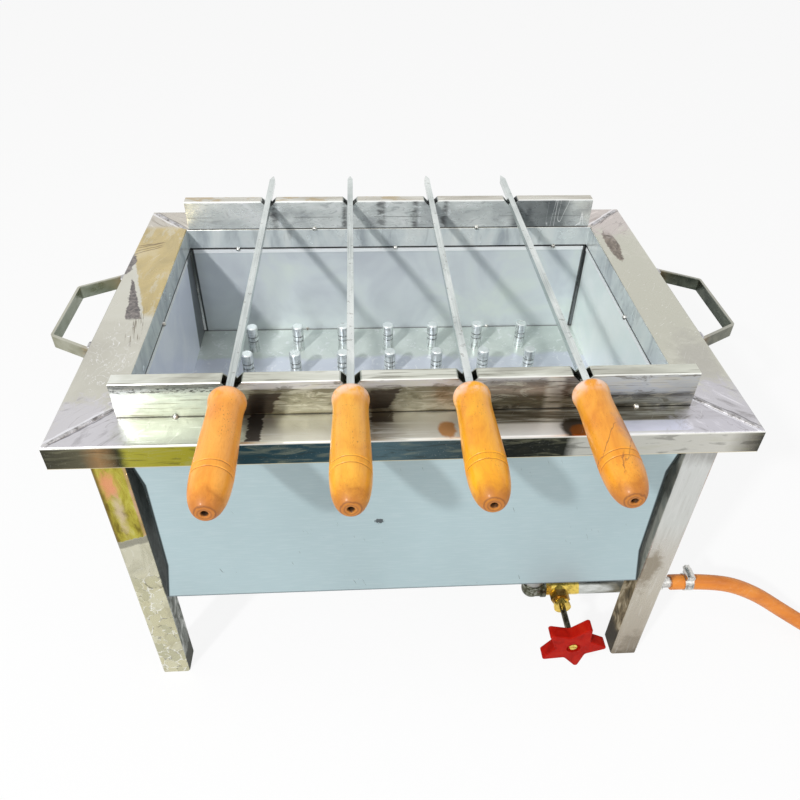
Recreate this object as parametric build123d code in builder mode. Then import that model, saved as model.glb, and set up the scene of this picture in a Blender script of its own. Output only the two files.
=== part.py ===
from build123d import *
import os
from math import atan, atan2, cos, pi, radians, sin, sqrt, tan

# Gas skewer grill, in millimetres: X runs to the right, Y to the back and Z up.
# The origin lies on the ground, under the middle of the grill with its skewers.

# Top frame, folded from sheet
frame_width = 559.0
frame_depth = 406.0
frame_height = 320.0
frame_sheet = 1.2
strip_width = 47.0
outer_lip = 22.3
inner_lip = 24.5
bend_inside = 0.6

# Notched rails on the frame
rail_end_gap = 2.0
rail_depth = 14.0
rail_height = 33.0
notch_depth = 6.9

# Skewers: square bar, pointed tip, tang through a turned grip
skewer_count = 4
skewer_pitch = 91.4
skewer_shift = -0.8
bar_side = 6.0
bar_clearance = 0.25
tip_overhang = 29.0
tip_length = 15.0
tip_flat = 0.8
tang_diameter = 5.0
grip_length = 115.0
grip_setback = 18.0
grip_shoulder_diameter = 21.0
grip_rim_diameter = 28.8
grip_waist_diameter = 26.6
grip_barrel_diameter = 28.2
grip_diameter = 29.4
grip_dome_diameter = 23.5
grip_end_diameter = 13.0
grip_pilot_diameter = 3.4
grip_bore_end = 8.0
grip_fit = 0.1
grip_groove = 0.5

# Places along a grip as shares of its length
grip_rim_share = 0.035
grip_waist_share = 0.16
grip_barrel_share = 0.39
grip_swell_share = 0.7
grip_dome_share = 0.93
grip_groove_shares = (0.696, 0.748)

# Legs of rectangular tube
leg_width = 27.0
leg_depth = 25.0
leg_wall = 1.5
leg_cap = 2.0
leg_corner = 2.5
leg_inset = 30.5

# Body panels
panel_sheet = 1.0
panel_height = 189.0
panel_gap = 0.3
panel_upper_inset = 10.0
panel_upper_share = 0.22
panel_lower_inset = 8.5
panel_lower_share = 0.76
panel_foot_inset = 1.0
panel_bend = 100.0

# Pit liner
pit_depth = 138.0
pit_sheet = 1.0
pit_hem = 4.5
pit_lip_gap = 0.8
pit_corner_gap = 1.0

# Side handles of flat bar
handle_base = 132.0
handle_grip = 86.0
handle_reach = 40.0
handle_bar_height = 13.0
handle_bar_thickness = 2.5
handle_bend = 1.5
handle_drop = 1.5
handle_forward = 7.5

# Gas nozzles in a grid on the pit floor
nozzle_columns = 7
nozzle_rows = 5
nozzle_margin_x = 70.5
nozzle_margin_y = 48.0
nozzle_shift_x = -5.0
nozzle_shift_y = 5.0
nozzle_diameter = 13.0
nozzle_height = 34.0
nozzle_chamfer = 1.2
nozzle_bore = 6.0
nozzle_roof = 9.0
shank_diameter = 8.0
shank_length = 4.0
shank_clearance = 0.2
port_diameter = 1.8
port_count = 6
port_drops = (13.0, 19.0)
port_groove_width = 2.6
port_groove_depth = 0.4

# Burner tubes, their header and the mixing tube
tube_side = 16.0
tube_wall = 1.2
tube_overhang = 13.0
tube_inlet_diameter = 10.0
header_side = 25.0
header_wall = 1.5
header_overhang = 12.0
header_nose = 2.0
cap_plate = 1.2
cap_plug = 4.0
cap_fit = 0.15
mixer_diameter = 22.0
mixer_wall = 1.5
mixer_length = 50.0
window_height = 12.0
window_width = 9.0
window_sill = 7.0

# Gas line
pipe_diameter = 17.2
pipe_wall = 2.3
pipe_length = 82.5
pipe_leg_gap = 0.2
spigot_length = 10.0
spigot_fit = 0.1
spindle_inset = 76.5
gas_bore = 7.0

# Outlet elbow and gas jet
elbow_diameter = 19.0
elbow_heel_diameter = 20.0
elbow_chamber_diameter = 9.0
elbow_passage_diameter = 6.0
elbow_socket_gap = 0.5
elbow_reach = 13.5
elbow_collar = 4.5
elbow_side_collar_diameter = 21.0
elbow_top_collar_diameter = 24.0
elbow_spigot_length = 8.0
jet_hex = 14.0
jet_hex_height = 5.0
jet_cone_height = 7.0
jet_cone_top = 4.0
jet_spigot_length = 6.0
jet_bore = 6.0
jet_orifice = 1.0
jet_nose = 3.0

# Gas tap; lengths along the stem count from the pipe's axis
tap_right = 20.5
tap_left = 13.5
tap_hex = 17.0
tap_hex_right = 10.5
tap_hex_left = 5.5
barrel_diameter = 18.0
boss_diameter = 15.5
boss_length = 10.0
chamber_diameter = 9.0
seat_diameter = 3.0
seat_depth = 4.6
inlet_diameter = 5.0
inlet_left = 1.5
inlet_right = 13.0
bore_right_end = 7.0
bore_left_end = 3.0
socket_diameter = 12.0
socket_depth = 5.0
socket_fit = 0.05
bonnet_hex = 17.0
bonnet_hex_length = 7.0
bonnet_neck_diameter = 12.6
bonnet_neck_length = 6.0
packing_room_diameter = 10.0
packing_room_depth = 5.5
packing_length = 3.9
packing_back_gap = 0.1
gland_skirt_start = 18.5
gland_plate = 2.8
gland_gap = 0.2
gland_rim_diameter = 16.8
gland_foot_diameter = 14.2
gland_clearance = 0.05
gland_pusher_gap = 0.1
thread_diameter = 8.0
stem_diameter = 6.0
running_fit = 0.08
needle_slope = 0.577
needle_point = 2.2
needle_cone_end = 1.0
needle_disc_end = 2.8
needle_disc_fit = 0.2
needle_neck_end = 7.5
needle_socket_start = 4.5
needle_pin_diameter = 4.0
needle_pin_fit = 0.05
thread_end = 15.0

# Star knob and its screw
knob_back = 59.5
knob_thickness = 11.5
knob_points = 5
knob_radius = 33.0
knob_valley_radius = 17.5
knob_turned = -4.5
knob_tip_fillet = 2.5
knob_valley_fillet = 4.0
knob_edge = 1.0
knob_recess_diameter = 13.5
knob_recess_depth = 2.5
knob_square = 4.2
knob_square_fit = 0.05
knob_screw_diameter = 2.5
knob_screw_length = 8.0
knob_screw_head_diameter = 8.0
knob_screw_head_height = 2.0
knob_screw_slot = 1.0
knob_screw_clearance = 0.05

# Hose, its barb and its clamp
hose_diameter = 16.0
barb_hex = 15.0
barb_hex_length = 6.0
barb_neck_diameter = 11.0
barb_neck_length = 10.0
barb_diameter = 10.0
barb_tooth = 0.5
barb_tooth_length = 7.0
barb_teeth = 4
barb_bore = 5.0
barb_fit = 0.05
clamp_gap = 0.05
clamp_sheet = 0.8
clamp_width = 9.0
clamp_start = 13.5
worm_diameter = 5.8
worm_gap = 0.15
worm_clearance = 0.15
worm_head_diameter = 8.0
worm_head_length = 3.5
worm_slot = 1.0
housing_wall = 1.15
housing_length = 12.0

# The hose's way down to the ground: along X, along Y and the share of the drop still to go
hose_way = (
    (0.0, 0.0, 1.0),
    (48.0, 0.0, 1.0),
    (94.0, -1.0, 0.715),
    (136.5, -10.0, 0.3),
    (180.0, -28.0, 0.0),
    (224.0, -46.0, 0.0),
    (265.0, -71.0, 0.0),
)
hose_bend_share = 0.45

# Coil of the hose's further length, and the fittings on its end
coil_radius = 102.0
coil_pitch = 17.0
coil_turns = 2.25
coil_climb_turns = 0.5
coil_rise = 19.5
coil_lead = 16.0
coil_tail = 18.0
ferrule_sheet = 1.0
ferrule_length = 13.0
tail_barb_length = 14.0
tail_collar_diameter = 15.5
tail_collar_length = 3.0
tail_neck_diameter = 10.6
tail_neck_length = 6.0
tail_seat_diameter = 14.4
tail_seat_length = 4.0
union_hex = 19.0
union_gap = 1.0
union_floor = 4.5
union_length = 17.0
union_bore_radius = 7.5
union_undercut = 0.4
union_undercut_length = 5.0
union_clearance = 0.2

# Tack welds
tack_radius = 2.6
rail_tack_inset = 45.5
back_tack_places = (-178.0, 5.0, 193.0)
rear_rail_tack_places = (-88.0, 99.0)
floor_tack_places = (-105.0, 124.0)

# Places that follow from the sizes
skewer_back = frame_depth + tip_overhang
skewer_front = grip_length - grip_setback
front_y = (skewer_front - skewer_back) / 2
back_y = front_y + frame_depth
middle_y = (front_y + back_y) / 2
frame_x = frame_width / 2
pit_x = frame_x - strip_width
pit_front = front_y + strip_width
pit_back = back_y - strip_width
rail_length = 2 * (pit_x - rail_end_gap)
under_frame = frame_height - frame_sheet - bend_inside
rail_top = frame_height + rail_height
notch_bottom = rail_top - notch_depth
bar_reach = bar_side / sqrt(2)
bar_room = bar_reach + bar_clearance
skewer_z = notch_bottom + bar_room
notch_floor = 2 * bar_room * tan(pi / 8)
notch_mouth = notch_floor + 2 * notch_depth
skewer_places = [skewer_shift + (n - (skewer_count - 1) / 2) * skewer_pitch for n in range(skewer_count)]
leg_x = frame_x - leg_inset - leg_width / 2
leg_front = front_y + frame_sheet
leg_y = leg_front + leg_depth / 2
panel_low = under_frame - panel_height
panel_x = leg_x - leg_width / 2 - panel_gap
floor_z = frame_height - pit_depth
wall_top = frame_height - inner_lip - pit_lip_gap
column_pitch = 2 * (pit_x - nozzle_margin_x) / (nozzle_columns - 1)
row_pitch = (pit_back - pit_front - 2 * nozzle_margin_y) / (nozzle_rows - 1)
first_column = nozzle_margin_x - pit_x + nozzle_shift_x
first_row = pit_front + nozzle_margin_y + nozzle_shift_y
nozzle_places = [first_column + n * column_pitch for n in range(nozzle_columns)]
row_places = [first_row + n * row_pitch for n in range(nozzle_rows)]
tube_top = floor_z - pit_sheet
tube_z = tube_top - tube_side / 2
header_top = tube_top - tube_side
header_low = header_top - header_side
spindle_x = leg_x - spindle_inset
pipe_y = leg_front + leg_depth + pipe_leg_gap + pipe_diameter / 2
pipe_z = header_low - mixer_length - elbow_reach
elbow_x = spindle_x - tap_left - elbow_reach
elbow_top = pipe_z + elbow_reach
pipe_start = spindle_x + tap_right
pipe_end = pipe_start + pipe_length
hose_start = pipe_end + barb_hex_length + barb_neck_length
hose_radius = hose_diameter / 2
spigot_radius = pipe_diameter / 2 - pipe_wall - spigot_fit


# Planes that several pieces share

def upright(y):
    """A plane facing the front, with its sketch read as X and Z."""
    return Plane.XZ.offset(-y)


def end_plane(place, length):
    """The plane across a bar that runs along a place's x direction, at the bar's start."""
    return Plane(origin=place.origin - place.x_dir * (length / 2), x_dir=place.y_dir, z_dir=place.x_dir)


def across_pipe(x):
    """A plane square to the gas line, centred on its axis."""
    return Plane(origin=(x, pipe_y, pipe_z), x_dir=(0, 1, 0), z_dir=(1, 0, 0))


def across_stem(distance):
    """A plane square to the tap's stem, centred on it, facing the front."""
    return Plane(origin=(spindle_x, pipe_y - distance, pipe_z), x_dir=(1, 0, 0), z_dir=(0, -1, 0))


pipe_axis = Axis((0, pipe_y, pipe_z), (1, 0, 0))
pipe_plane = Plane(origin=(0, pipe_y, pipe_z), x_dir=(1, 0, 0), z_dir=(0, -1, 0))
stem_axis = Axis((spindle_x, pipe_y, pipe_z), (0, -1, 0))
stem_plane = Plane(origin=(spindle_x, pipe_y, pipe_z), x_dir=(0, -1, 0), z_dir=(-1, 0, 0))

os.makedirs("parts", exist_ok=True)


# Top frame: four strips with mitred ends

def frame_strip(length, place):
    """A folded strip whose outer top edge runs along the place's x direction."""
    bend = bend_inside + frame_sheet
    inner_face = strip_width - frame_sheet
    with BuildPart() as strip:
        with BuildSketch(end_plane(place, length)):
            with BuildLine():
                FilletPolyline(
                    (0, -outer_lip), (0, 0), (strip_width, 0), (strip_width, -inner_lip), radius=bend
                )
                FilletPolyline(
                    (frame_sheet, -outer_lip),
                    (frame_sheet, -frame_sheet),
                    (inner_face, -frame_sheet),
                    (inner_face, -inner_lip),
                    radius=bend_inside,
                )
                Line((0, -outer_lip), (frame_sheet, -outer_lip))
                Line((inner_face, -inner_lip), (strip_width, -inner_lip))
            make_face()
        extrude(amount=length)
        half = length / 2
        with BuildSketch(place):
            Polygon(
                (-half - frame_sheet, -frame_sheet),
                (half + frame_sheet, -frame_sheet),
                (half - strip_width - frame_sheet, strip_width + frame_sheet),
                (-half + strip_width + frame_sheet, strip_width + frame_sheet),
            )
        extrude(amount=outer_lip + inner_lip, both=True, mode=Mode.INTERSECT)
    return strip


strip_places = {
    "front": (frame_width, Plane((0, front_y, frame_height), x_dir=(1, 0, 0), z_dir=(0, 0, 1))),
    "back": (frame_width, Plane((0, back_y, frame_height), x_dir=(-1, 0, 0), z_dir=(0, 0, 1))),
    "left": (frame_depth, Plane((-frame_x, middle_y, frame_height), x_dir=(0, -1, 0), z_dir=(0, 0, 1))),
    "right": (frame_depth, Plane((frame_x, middle_y, frame_height), x_dir=(0, 1, 0), z_dir=(0, 0, 1))),
}
for side, (length, place) in strip_places.items():
    top_frame = frame_strip(length, place)
    top_frame.part.label = f"top_frame_{side}"
    export_step(top_frame.part, f"parts/top_frame_{side}.step")


# Rails whose notches have a flat bottom and sides at 45 degrees

with BuildPart() as front_rail:
    rail_y = pit_front - rail_depth
    rail_back = rail_y + rail_depth - frame_sheet
    with BuildSketch(Plane.YZ.offset(-rail_length / 2)):
        with BuildLine():
            FilletPolyline(
                (rail_y, frame_height),
                (rail_y, rail_top),
                (rail_y + rail_depth, rail_top),
                (rail_y + rail_depth, frame_height),
                radius=bend_inside + frame_sheet,
            )
            FilletPolyline(
                (rail_y + frame_sheet, frame_height),
                (rail_y + frame_sheet, rail_top - frame_sheet),
                (rail_back, rail_top - frame_sheet),
                (rail_back, frame_height),
                radius=bend_inside,
            )
            Line((rail_y, frame_height), (rail_y + frame_sheet, frame_height))
            Line((rail_back, frame_height), (rail_y + rail_depth, frame_height))
        make_face()
    extrude(amount=rail_length)
    with BuildSketch(upright(rail_y + rail_depth / 2)):
        with Locations([(x, notch_bottom) for x in skewer_places]):
            Polygon(
                (-notch_floor / 2, 0),
                (notch_floor / 2, 0),
                (notch_mouth / 2, notch_depth),
                (-notch_mouth / 2, notch_depth),
                align=None,
            )
    extrude(amount=rail_depth, both=True, mode=Mode.SUBTRACT)
front_rail.part.label = "front_rail"
export_step(front_rail.part, "parts/front_rail.step")

with BuildPart() as rear_rail:
    mirror(front_rail.part, about=upright(middle_y))
rear_rail.part.label = "rear_rail"
export_step(rear_rail.part, "parts/rear_rail.step")


# Legs

with BuildPart() as leg:
    with BuildSketch():
        with Locations((leg_x, leg_y)):
            RectangleRounded(leg_width, leg_depth, leg_corner)
    extrude(amount=under_frame)
    with BuildSketch(Plane.XY.offset(leg_cap)):
        with Locations((leg_x, leg_y)):
            RectangleRounded(leg_width - 2 * leg_wall, leg_depth - 2 * leg_wall, leg_corner - leg_wall)
    extrude(amount=under_frame - leg_cap, mode=Mode.SUBTRACT)

with BuildPart() as leg_front_right:
    add(leg.part)
leg_front_right.part.label = "leg_front_right"
export_step(leg_front_right.part, "parts/leg_front_right.step")

with BuildPart() as leg_front_left:
    mirror(leg_front_right.part, about=Plane.YZ)
leg_front_left.part.label = "leg_front_left"
export_step(leg_front_left.part, "parts/leg_front_left.step")

with BuildPart() as leg_rear_right:
    mirror(leg_front_right.part, about=upright(middle_y))
leg_rear_right.part.label = "leg_rear_right"
export_step(leg_rear_right.part, "parts/leg_rear_right.step")

with BuildPart() as leg_rear_left:
    mirror(leg_front_left.part, about=upright(middle_y))
leg_rear_left.part.label = "leg_rear_left"
export_step(leg_rear_left.part, "parts/leg_rear_left.step")


# Body panels: the front and back ones draw in from the legs between their corners

with BuildPart() as body_panel_front:
    top_corner = (panel_x, under_frame)
    upper_corner = (panel_x - panel_upper_inset, under_frame - panel_upper_share * panel_height)
    lower_corner = (panel_x - panel_lower_inset, under_frame - panel_lower_share * panel_height)
    foot = (panel_x - panel_foot_inset, panel_low)
    with BuildSketch(upright(leg_front + panel_sheet)):
        with BuildLine():
            right_edge = FilletPolyline(top_corner, upper_corner, lower_corner, foot, radius=panel_bend)
            mirror(right_edge, about=Plane.YZ)
            Line((-panel_x, under_frame), top_corner)
            Line((-foot[0], panel_low), foot)
        make_face()
    extrude(amount=panel_sheet)
body_panel_front.part.label = "body_panel_front"
export_step(body_panel_front.part, "parts/body_panel_front.step")

with BuildPart() as body_panel_back:
    mirror(body_panel_front.part, about=upright(middle_y))
body_panel_back.part.label = "body_panel_back"
export_step(body_panel_back.part, "parts/body_panel_back.step")

with BuildPart() as body_panel_right:
    side_panel_length = frame_depth - 2 * (frame_sheet + leg_depth + panel_gap)
    with BuildSketch(Plane.YZ.offset(leg_x + leg_width / 2 - panel_sheet)):
        with Locations((middle_y, (panel_low + under_frame) / 2)):
            Rectangle(side_panel_length, panel_height)
    extrude(amount=panel_sheet)
body_panel_right.part.label = "body_panel_right"
export_step(body_panel_right.part, "parts/body_panel_right.step")

with BuildPart() as body_panel_left:
    mirror(body_panel_right.part, about=Plane.YZ)
body_panel_left.part.label = "body_panel_left"
export_step(body_panel_left.part, "parts/body_panel_left.step")


# Pit liner: walls with a hem folded flush under the frame's inner lip

def pit_wall(length, place):
    """A wall whose hem lies on the place's x direction and whose sheet lies behind it."""
    with BuildPart() as wall:
        with BuildSketch(end_plane(place, length)):
            Polygon(
                (pit_sheet, floor_z),
                (2 * pit_sheet, floor_z),
                (2 * pit_sheet, wall_top),
                (0, wall_top),
                (0, wall_top - pit_hem),
                (pit_sheet, wall_top - pit_hem),
            )
        extrude(amount=length)
    return wall


wide_wall = 2 * (pit_x - pit_corner_gap)
deep_wall = pit_back - pit_front - 2 * pit_corner_gap
wall_places = {
    "front": (wide_wall, Plane(origin=(0, pit_front, 0), x_dir=(-1, 0, 0), z_dir=(0, 0, 1))),
    "back": (wide_wall, Plane(origin=(0, pit_back, 0), x_dir=(1, 0, 0), z_dir=(0, 0, 1))),
    "left": (deep_wall, Plane(origin=(-pit_x, middle_y, 0), x_dir=(0, 1, 0), z_dir=(0, 0, 1))),
    "right": (deep_wall, Plane(origin=(pit_x, middle_y, 0), x_dir=(0, -1, 0), z_dir=(0, 0, 1))),
}
for side, (length, place) in wall_places.items():
    liner = pit_wall(length, place)
    liner.part.label = f"pit_wall_{side}"
    export_step(liner.part, f"parts/pit_wall_{side}.step")

with BuildPart() as pit_floor:
    with BuildSketch(Plane.XY.offset(floor_z)):
        with Locations((0, middle_y)):
            Rectangle(2 * pit_x + 4 * pit_sheet, pit_back - pit_front + 4 * pit_sheet)
        with Locations([(x, y) for x in nozzle_places for y in row_places]):
            Circle(shank_diameter / 2 + shank_clearance, mode=Mode.SUBTRACT)
    extrude(amount=-pit_sheet)
pit_floor.part.label = "pit_floor"
export_step(pit_floor.part, "parts/pit_floor.step")


# Side handles

with BuildPart() as handle_right:
    handle_y = middle_y - handle_forward
    arm_slope = (handle_base - handle_grip) / 2 / handle_reach
    arm_inside = handle_base / 2 - handle_bar_thickness * sqrt(1 + arm_slope**2)
    grip_inside_x = handle_reach - handle_bar_thickness
    grip_inside = arm_inside - arm_slope * grip_inside_x
    with BuildSketch(Plane((frame_x, handle_y, frame_height - handle_drop))):
        with BuildLine():
            FilletPolyline(
                (0, -handle_base / 2),
                (handle_reach, -handle_grip / 2),
                (handle_reach, handle_grip / 2),
                (0, handle_base / 2),
                radius=handle_bend + handle_bar_thickness,
            )
            FilletPolyline(
                (0, -arm_inside),
                (grip_inside_x, -grip_inside),
                (grip_inside_x, grip_inside),
                (0, arm_inside),
                radius=handle_bend,
            )
            Line((0, -handle_base / 2), (0, -arm_inside))
            Line((0, arm_inside), (0, handle_base / 2))
        make_face()
    extrude(amount=-handle_bar_height)
handle_right.part.label = "handle_right"
export_step(handle_right.part, "parts/handle_right.step")

with BuildPart() as handle_left:
    mirror(handle_right.part, about=Plane.YZ)
handle_left.part.label = "handle_left"
export_step(handle_left.part, "parts/handle_left.step")


# Gas nozzles: turned bodies with two rings of ports

nozzle_radius = nozzle_diameter / 2
groove_radius = nozzle_radius - port_groove_depth
with BuildPart() as nozzle:
    with BuildSketch(Plane.XZ):
        Polygon(
            (nozzle_bore / 2, -shank_length),
            (shank_diameter / 2, -shank_length),
            (shank_diameter / 2, 0),
            (nozzle_radius, 0),
            (nozzle_radius, nozzle_height - nozzle_chamfer),
            (nozzle_radius - nozzle_chamfer, nozzle_height),
            (0, nozzle_height),
            (0, nozzle_height - nozzle_roof),
            (nozzle_bore / 2, nozzle_height - nozzle_roof),
        )
        with Locations([(nozzle_radius, nozzle_height - drop) for drop in port_drops]):
            Rectangle(2 * port_groove_depth, port_groove_width, mode=Mode.SUBTRACT)
    revolve(axis=Axis.Z)
    for ring, drop in enumerate(port_drops):
        turn = ring * pi / port_count
        angles = [turn + 2 * pi * n / port_count for n in range(port_count)]
        with BuildSketch(*[Plane((0, 0, nozzle_height - drop), z_dir=(cos(a), sin(a), 0)) for a in angles]):
            Circle(port_diameter / 2)
        extrude(amount=nozzle_radius, mode=Mode.SUBTRACT)

for row, row_y in enumerate(row_places, 1):
    with BuildPart() as burner_nozzles:
        with Locations([(x, row_y, floor_z) for x in nozzle_places]):
            add(nozzle.part)
    burner_nozzles.part.label = f"burner_nozzles_{row}"
    export_step(burner_nozzles.part, f"parts/burner_nozzles_{row}.step")


# Burner tubes under the floor, one for each row of nozzles

tube_start = nozzle_places[0] - tube_overhang
tube_end = nozzle_places[-1] + tube_overhang
tube_inside = tube_side - 2 * tube_wall
with BuildPart() as burner_tubes:
    with BuildSketch(Plane.YZ.offset(tube_start)):
        with Locations([(y, tube_z) for y in row_places]):
            Rectangle(tube_side, tube_side)
            Rectangle(tube_inside, tube_inside, mode=Mode.SUBTRACT)
    extrude(amount=tube_end - tube_start)
    with BuildSketch(Plane.XY.offset(tube_z)):
        with Locations([(x, y) for x in nozzle_places for y in row_places]):
            Circle(shank_diameter / 2 + socket_fit)
    extrude(amount=tube_side, mode=Mode.SUBTRACT)
    with BuildSketch(Plane.XY.offset(tube_z)):
        with Locations([(elbow_x, y) for y in row_places]):
            Circle(tube_inlet_diameter / 2)
    extrude(amount=-tube_side, mode=Mode.SUBTRACT)
burner_tubes.part.label = "burner_tubes"
export_step(burner_tubes.part, "parts/burner_tubes.step")

with BuildPart() as burner_tube_caps:
    plug_side = tube_inside - 2 * cap_fit
    for end_x, outward in ((tube_start, -1), (tube_end, 1)):
        with BuildSketch(Plane.YZ.offset(end_x)):
            with Locations([(y, tube_z) for y in row_places]):
                Rectangle(tube_side, tube_side)
        extrude(amount=outward * cap_plate)
        with BuildSketch(Plane.YZ.offset(end_x)):
            with Locations([(y, tube_z) for y in row_places]):
                Rectangle(plug_side, plug_side)
        extrude(amount=-outward * cap_plug)
burner_tube_caps.part.label = "burner_tube_caps"
export_step(burner_tube_caps.part, "parts/burner_tube_caps.step")


# Header tube across the burner tubes

header_front = pipe_y - mixer_diameter / 2 - header_nose
header_back = row_places[-1] + header_overhang
header_z = header_top - header_side / 2
header_inside = header_side - 2 * header_wall
mixer_bore = mixer_diameter - 2 * mixer_wall
with BuildPart() as burner_header:
    with BuildSketch(upright(header_back)):
        with Locations((elbow_x, header_z)):
            Rectangle(header_side, header_side)
            Rectangle(header_inside, header_inside, mode=Mode.SUBTRACT)
    extrude(amount=header_back - header_front)
    with BuildSketch(Plane.XY.offset(header_z)):
        with Locations([(elbow_x, y) for y in row_places]):
            Circle(tube_inlet_diameter / 2)
    extrude(amount=header_side, mode=Mode.SUBTRACT)
    with BuildSketch(Plane.XY.offset(header_z)):
        with Locations((elbow_x, pipe_y)):
            Circle(mixer_bore / 2)
    extrude(amount=-header_side, mode=Mode.SUBTRACT)
burner_header.part.label = "burner_header"
export_step(burner_header.part, "parts/burner_header.step")

with BuildPart() as header_caps:
    header_plug = header_inside - 2 * cap_fit
    for end_y, outward in ((header_front, 1), (header_back, -1)):
        with BuildSketch(upright(end_y)):
            with Locations((elbow_x, header_z)):
                Rectangle(header_side, header_side)
        extrude(amount=outward * cap_plate)
        with BuildSketch(upright(end_y)):
            with Locations((elbow_x, header_z)):
                Rectangle(header_plug, header_plug)
        extrude(amount=-outward * cap_plug)
header_caps.part.label = "header_caps"
export_step(header_caps.part, "parts/header_caps.step")


# Mixing tube with air windows, standing on the elbow's collar

with BuildPart() as mixing_tube:
    with BuildSketch(Plane.XY.offset(elbow_top)):
        with Locations((elbow_x, pipe_y)):
            Circle(mixer_diameter / 2)
            Circle(mixer_bore / 2, mode=Mode.SUBTRACT)
    extrude(amount=header_low - elbow_top)
    window_centre = (elbow_x, pipe_y, elbow_top + window_sill + window_height / 2)
    with BuildSketch(
        Plane(window_centre, x_dir=(1, 0, 0), z_dir=(0, -1, 0)),
        Plane(window_centre, x_dir=(0, 1, 0), z_dir=(1, 0, 0)),
    ):
        Rectangle(window_width, window_height)
    extrude(amount=mixer_diameter, both=True, mode=Mode.SUBTRACT)
mixing_tube.part.label = "mixing_tube"
export_step(mixing_tube.part, "parts/mixing_tube.step")


# Gas jet in the foot of the mixing tube

elbow_bore_radius = spigot_radius + spigot_fit
with BuildPart() as gas_jet:
    jet_top = jet_hex_height + jet_cone_height
    with BuildSketch(Plane((elbow_x, pipe_y, elbow_top), x_dir=(1, 0, 0), z_dir=(0, -1, 0))):
        Polygon(
            (jet_bore / 2, -jet_spigot_length),
            (spigot_radius, -jet_spigot_length),
            (spigot_radius, 0),
            (jet_hex / 2, 0),
            (jet_hex / 2, jet_hex_height),
            (jet_cone_top / 2, jet_top),
            (jet_orifice / 2, jet_top),
            (jet_orifice / 2, jet_top - jet_nose),
            (jet_bore / 2, jet_top - 2 * jet_nose),
        )
    revolve(axis=Axis((elbow_x, pipe_y, 0), (0, 0, 1)))
    with BuildSketch(Plane((elbow_x, pipe_y, elbow_top))):
        RegularPolygon(jet_hex / 2, 6, major_radius=False)
        Circle(jet_bore / 2, mode=Mode.SUBTRACT)
    extrude(amount=jet_hex_height)
gas_jet.part.label = "gas_jet"
export_step(gas_jet.part, "parts/gas_jet.step")


# Outlet elbow between the tap and the mixing tube: two sockets joined by a narrower passage

with BuildPart() as outlet_elbow:
    with Locations((elbow_x, pipe_y, pipe_z)):
        Sphere(elbow_heel_diameter / 2)
    with BuildSketch(across_pipe(elbow_x)):
        Circle(elbow_diameter / 2)
    extrude(amount=elbow_reach)
    with BuildSketch(across_pipe(elbow_x + elbow_reach - elbow_collar)):
        Circle(elbow_side_collar_diameter / 2)
    extrude(amount=elbow_collar)
    with BuildSketch(Plane((elbow_x, pipe_y, pipe_z))):
        Circle(elbow_diameter / 2)
    extrude(amount=elbow_reach)
    with BuildSketch(Plane((elbow_x, pipe_y, elbow_top - elbow_collar))):
        Circle(elbow_top_collar_diameter / 2)
    extrude(amount=elbow_collar)
    with Locations((elbow_x, pipe_y, pipe_z)):
        Sphere(elbow_chamber_diameter / 2, mode=Mode.SUBTRACT)
    with BuildSketch(across_pipe(elbow_x)):
        Circle(elbow_passage_diameter / 2)
    extrude(amount=elbow_reach, mode=Mode.SUBTRACT)
    with BuildSketch(across_pipe(elbow_x + elbow_reach)):
        Circle(elbow_bore_radius)
    extrude(amount=-(elbow_spigot_length + elbow_socket_gap), mode=Mode.SUBTRACT)
    with BuildSketch(Plane((elbow_x, pipe_y, pipe_z))):
        Circle(elbow_passage_diameter / 2)
    extrude(amount=elbow_reach, mode=Mode.SUBTRACT)
    with BuildSketch(Plane((elbow_x, pipe_y, elbow_top))):
        Circle(elbow_bore_radius)
    extrude(amount=-(jet_spigot_length + elbow_socket_gap), mode=Mode.SUBTRACT)
outlet_elbow.part.label = "outlet_elbow"
export_step(outlet_elbow.part, "parts/outlet_elbow.step")


# Tap body: two hexagons on a barrel, a boss for the bonnet and a spigot each way

with BuildPart() as valve_body:
    with BuildSketch(across_pipe(spindle_x - tap_left - elbow_spigot_length)):
        Circle(spigot_radius)
    extrude(amount=elbow_spigot_length + tap_left + tap_right + spigot_length)
    with BuildSketch(across_pipe(spindle_x - tap_left)):
        RegularPolygon(tap_hex / 2, 6, major_radius=False)
    extrude(amount=tap_hex_left)
    with BuildSketch(across_pipe(pipe_start - tap_hex_right)):
        RegularPolygon(tap_hex / 2, 6, major_radius=False)
    extrude(amount=tap_hex_right)
    with BuildSketch(across_pipe(spindle_x - tap_left + tap_hex_left)):
        Circle(barrel_diameter / 2)
    extrude(amount=tap_left + tap_right - tap_hex_left - tap_hex_right)
    with BuildSketch(across_stem(0)):
        Circle(boss_diameter / 2)
    extrude(amount=boss_length)
    with BuildSketch(across_pipe(spindle_x + bore_right_end)):
        Circle(gas_bore / 2)
    extrude(amount=tap_right + spigot_length - bore_right_end, mode=Mode.SUBTRACT)
    with BuildSketch(across_pipe(spindle_x - bore_left_end)):
        Circle(gas_bore / 2)
    extrude(amount=-(tap_left + elbow_spigot_length - bore_left_end), mode=Mode.SUBTRACT)
    with BuildSketch(across_pipe(spindle_x - inlet_left)):
        with Locations((seat_depth, 0)):
            Circle(inlet_diameter / 2)
    extrude(amount=inlet_left + inlet_right, mode=Mode.SUBTRACT)
    with BuildSketch(across_stem(-seat_depth)):
        Circle(seat_diameter / 2)
    extrude(amount=seat_depth, mode=Mode.SUBTRACT)
    with BuildSketch(across_stem(0)):
        Circle(chamber_diameter / 2)
    extrude(amount=boss_length, mode=Mode.SUBTRACT)
    with BuildSketch(across_stem(boss_length - socket_depth)):
        Circle(socket_diameter / 2)
    extrude(amount=socket_depth, mode=Mode.SUBTRACT)
valve_body.part.label = "valve_body"
export_step(valve_body.part, "parts/valve_body.step")


# Bonnet, packing and gland nut round the stem

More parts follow.
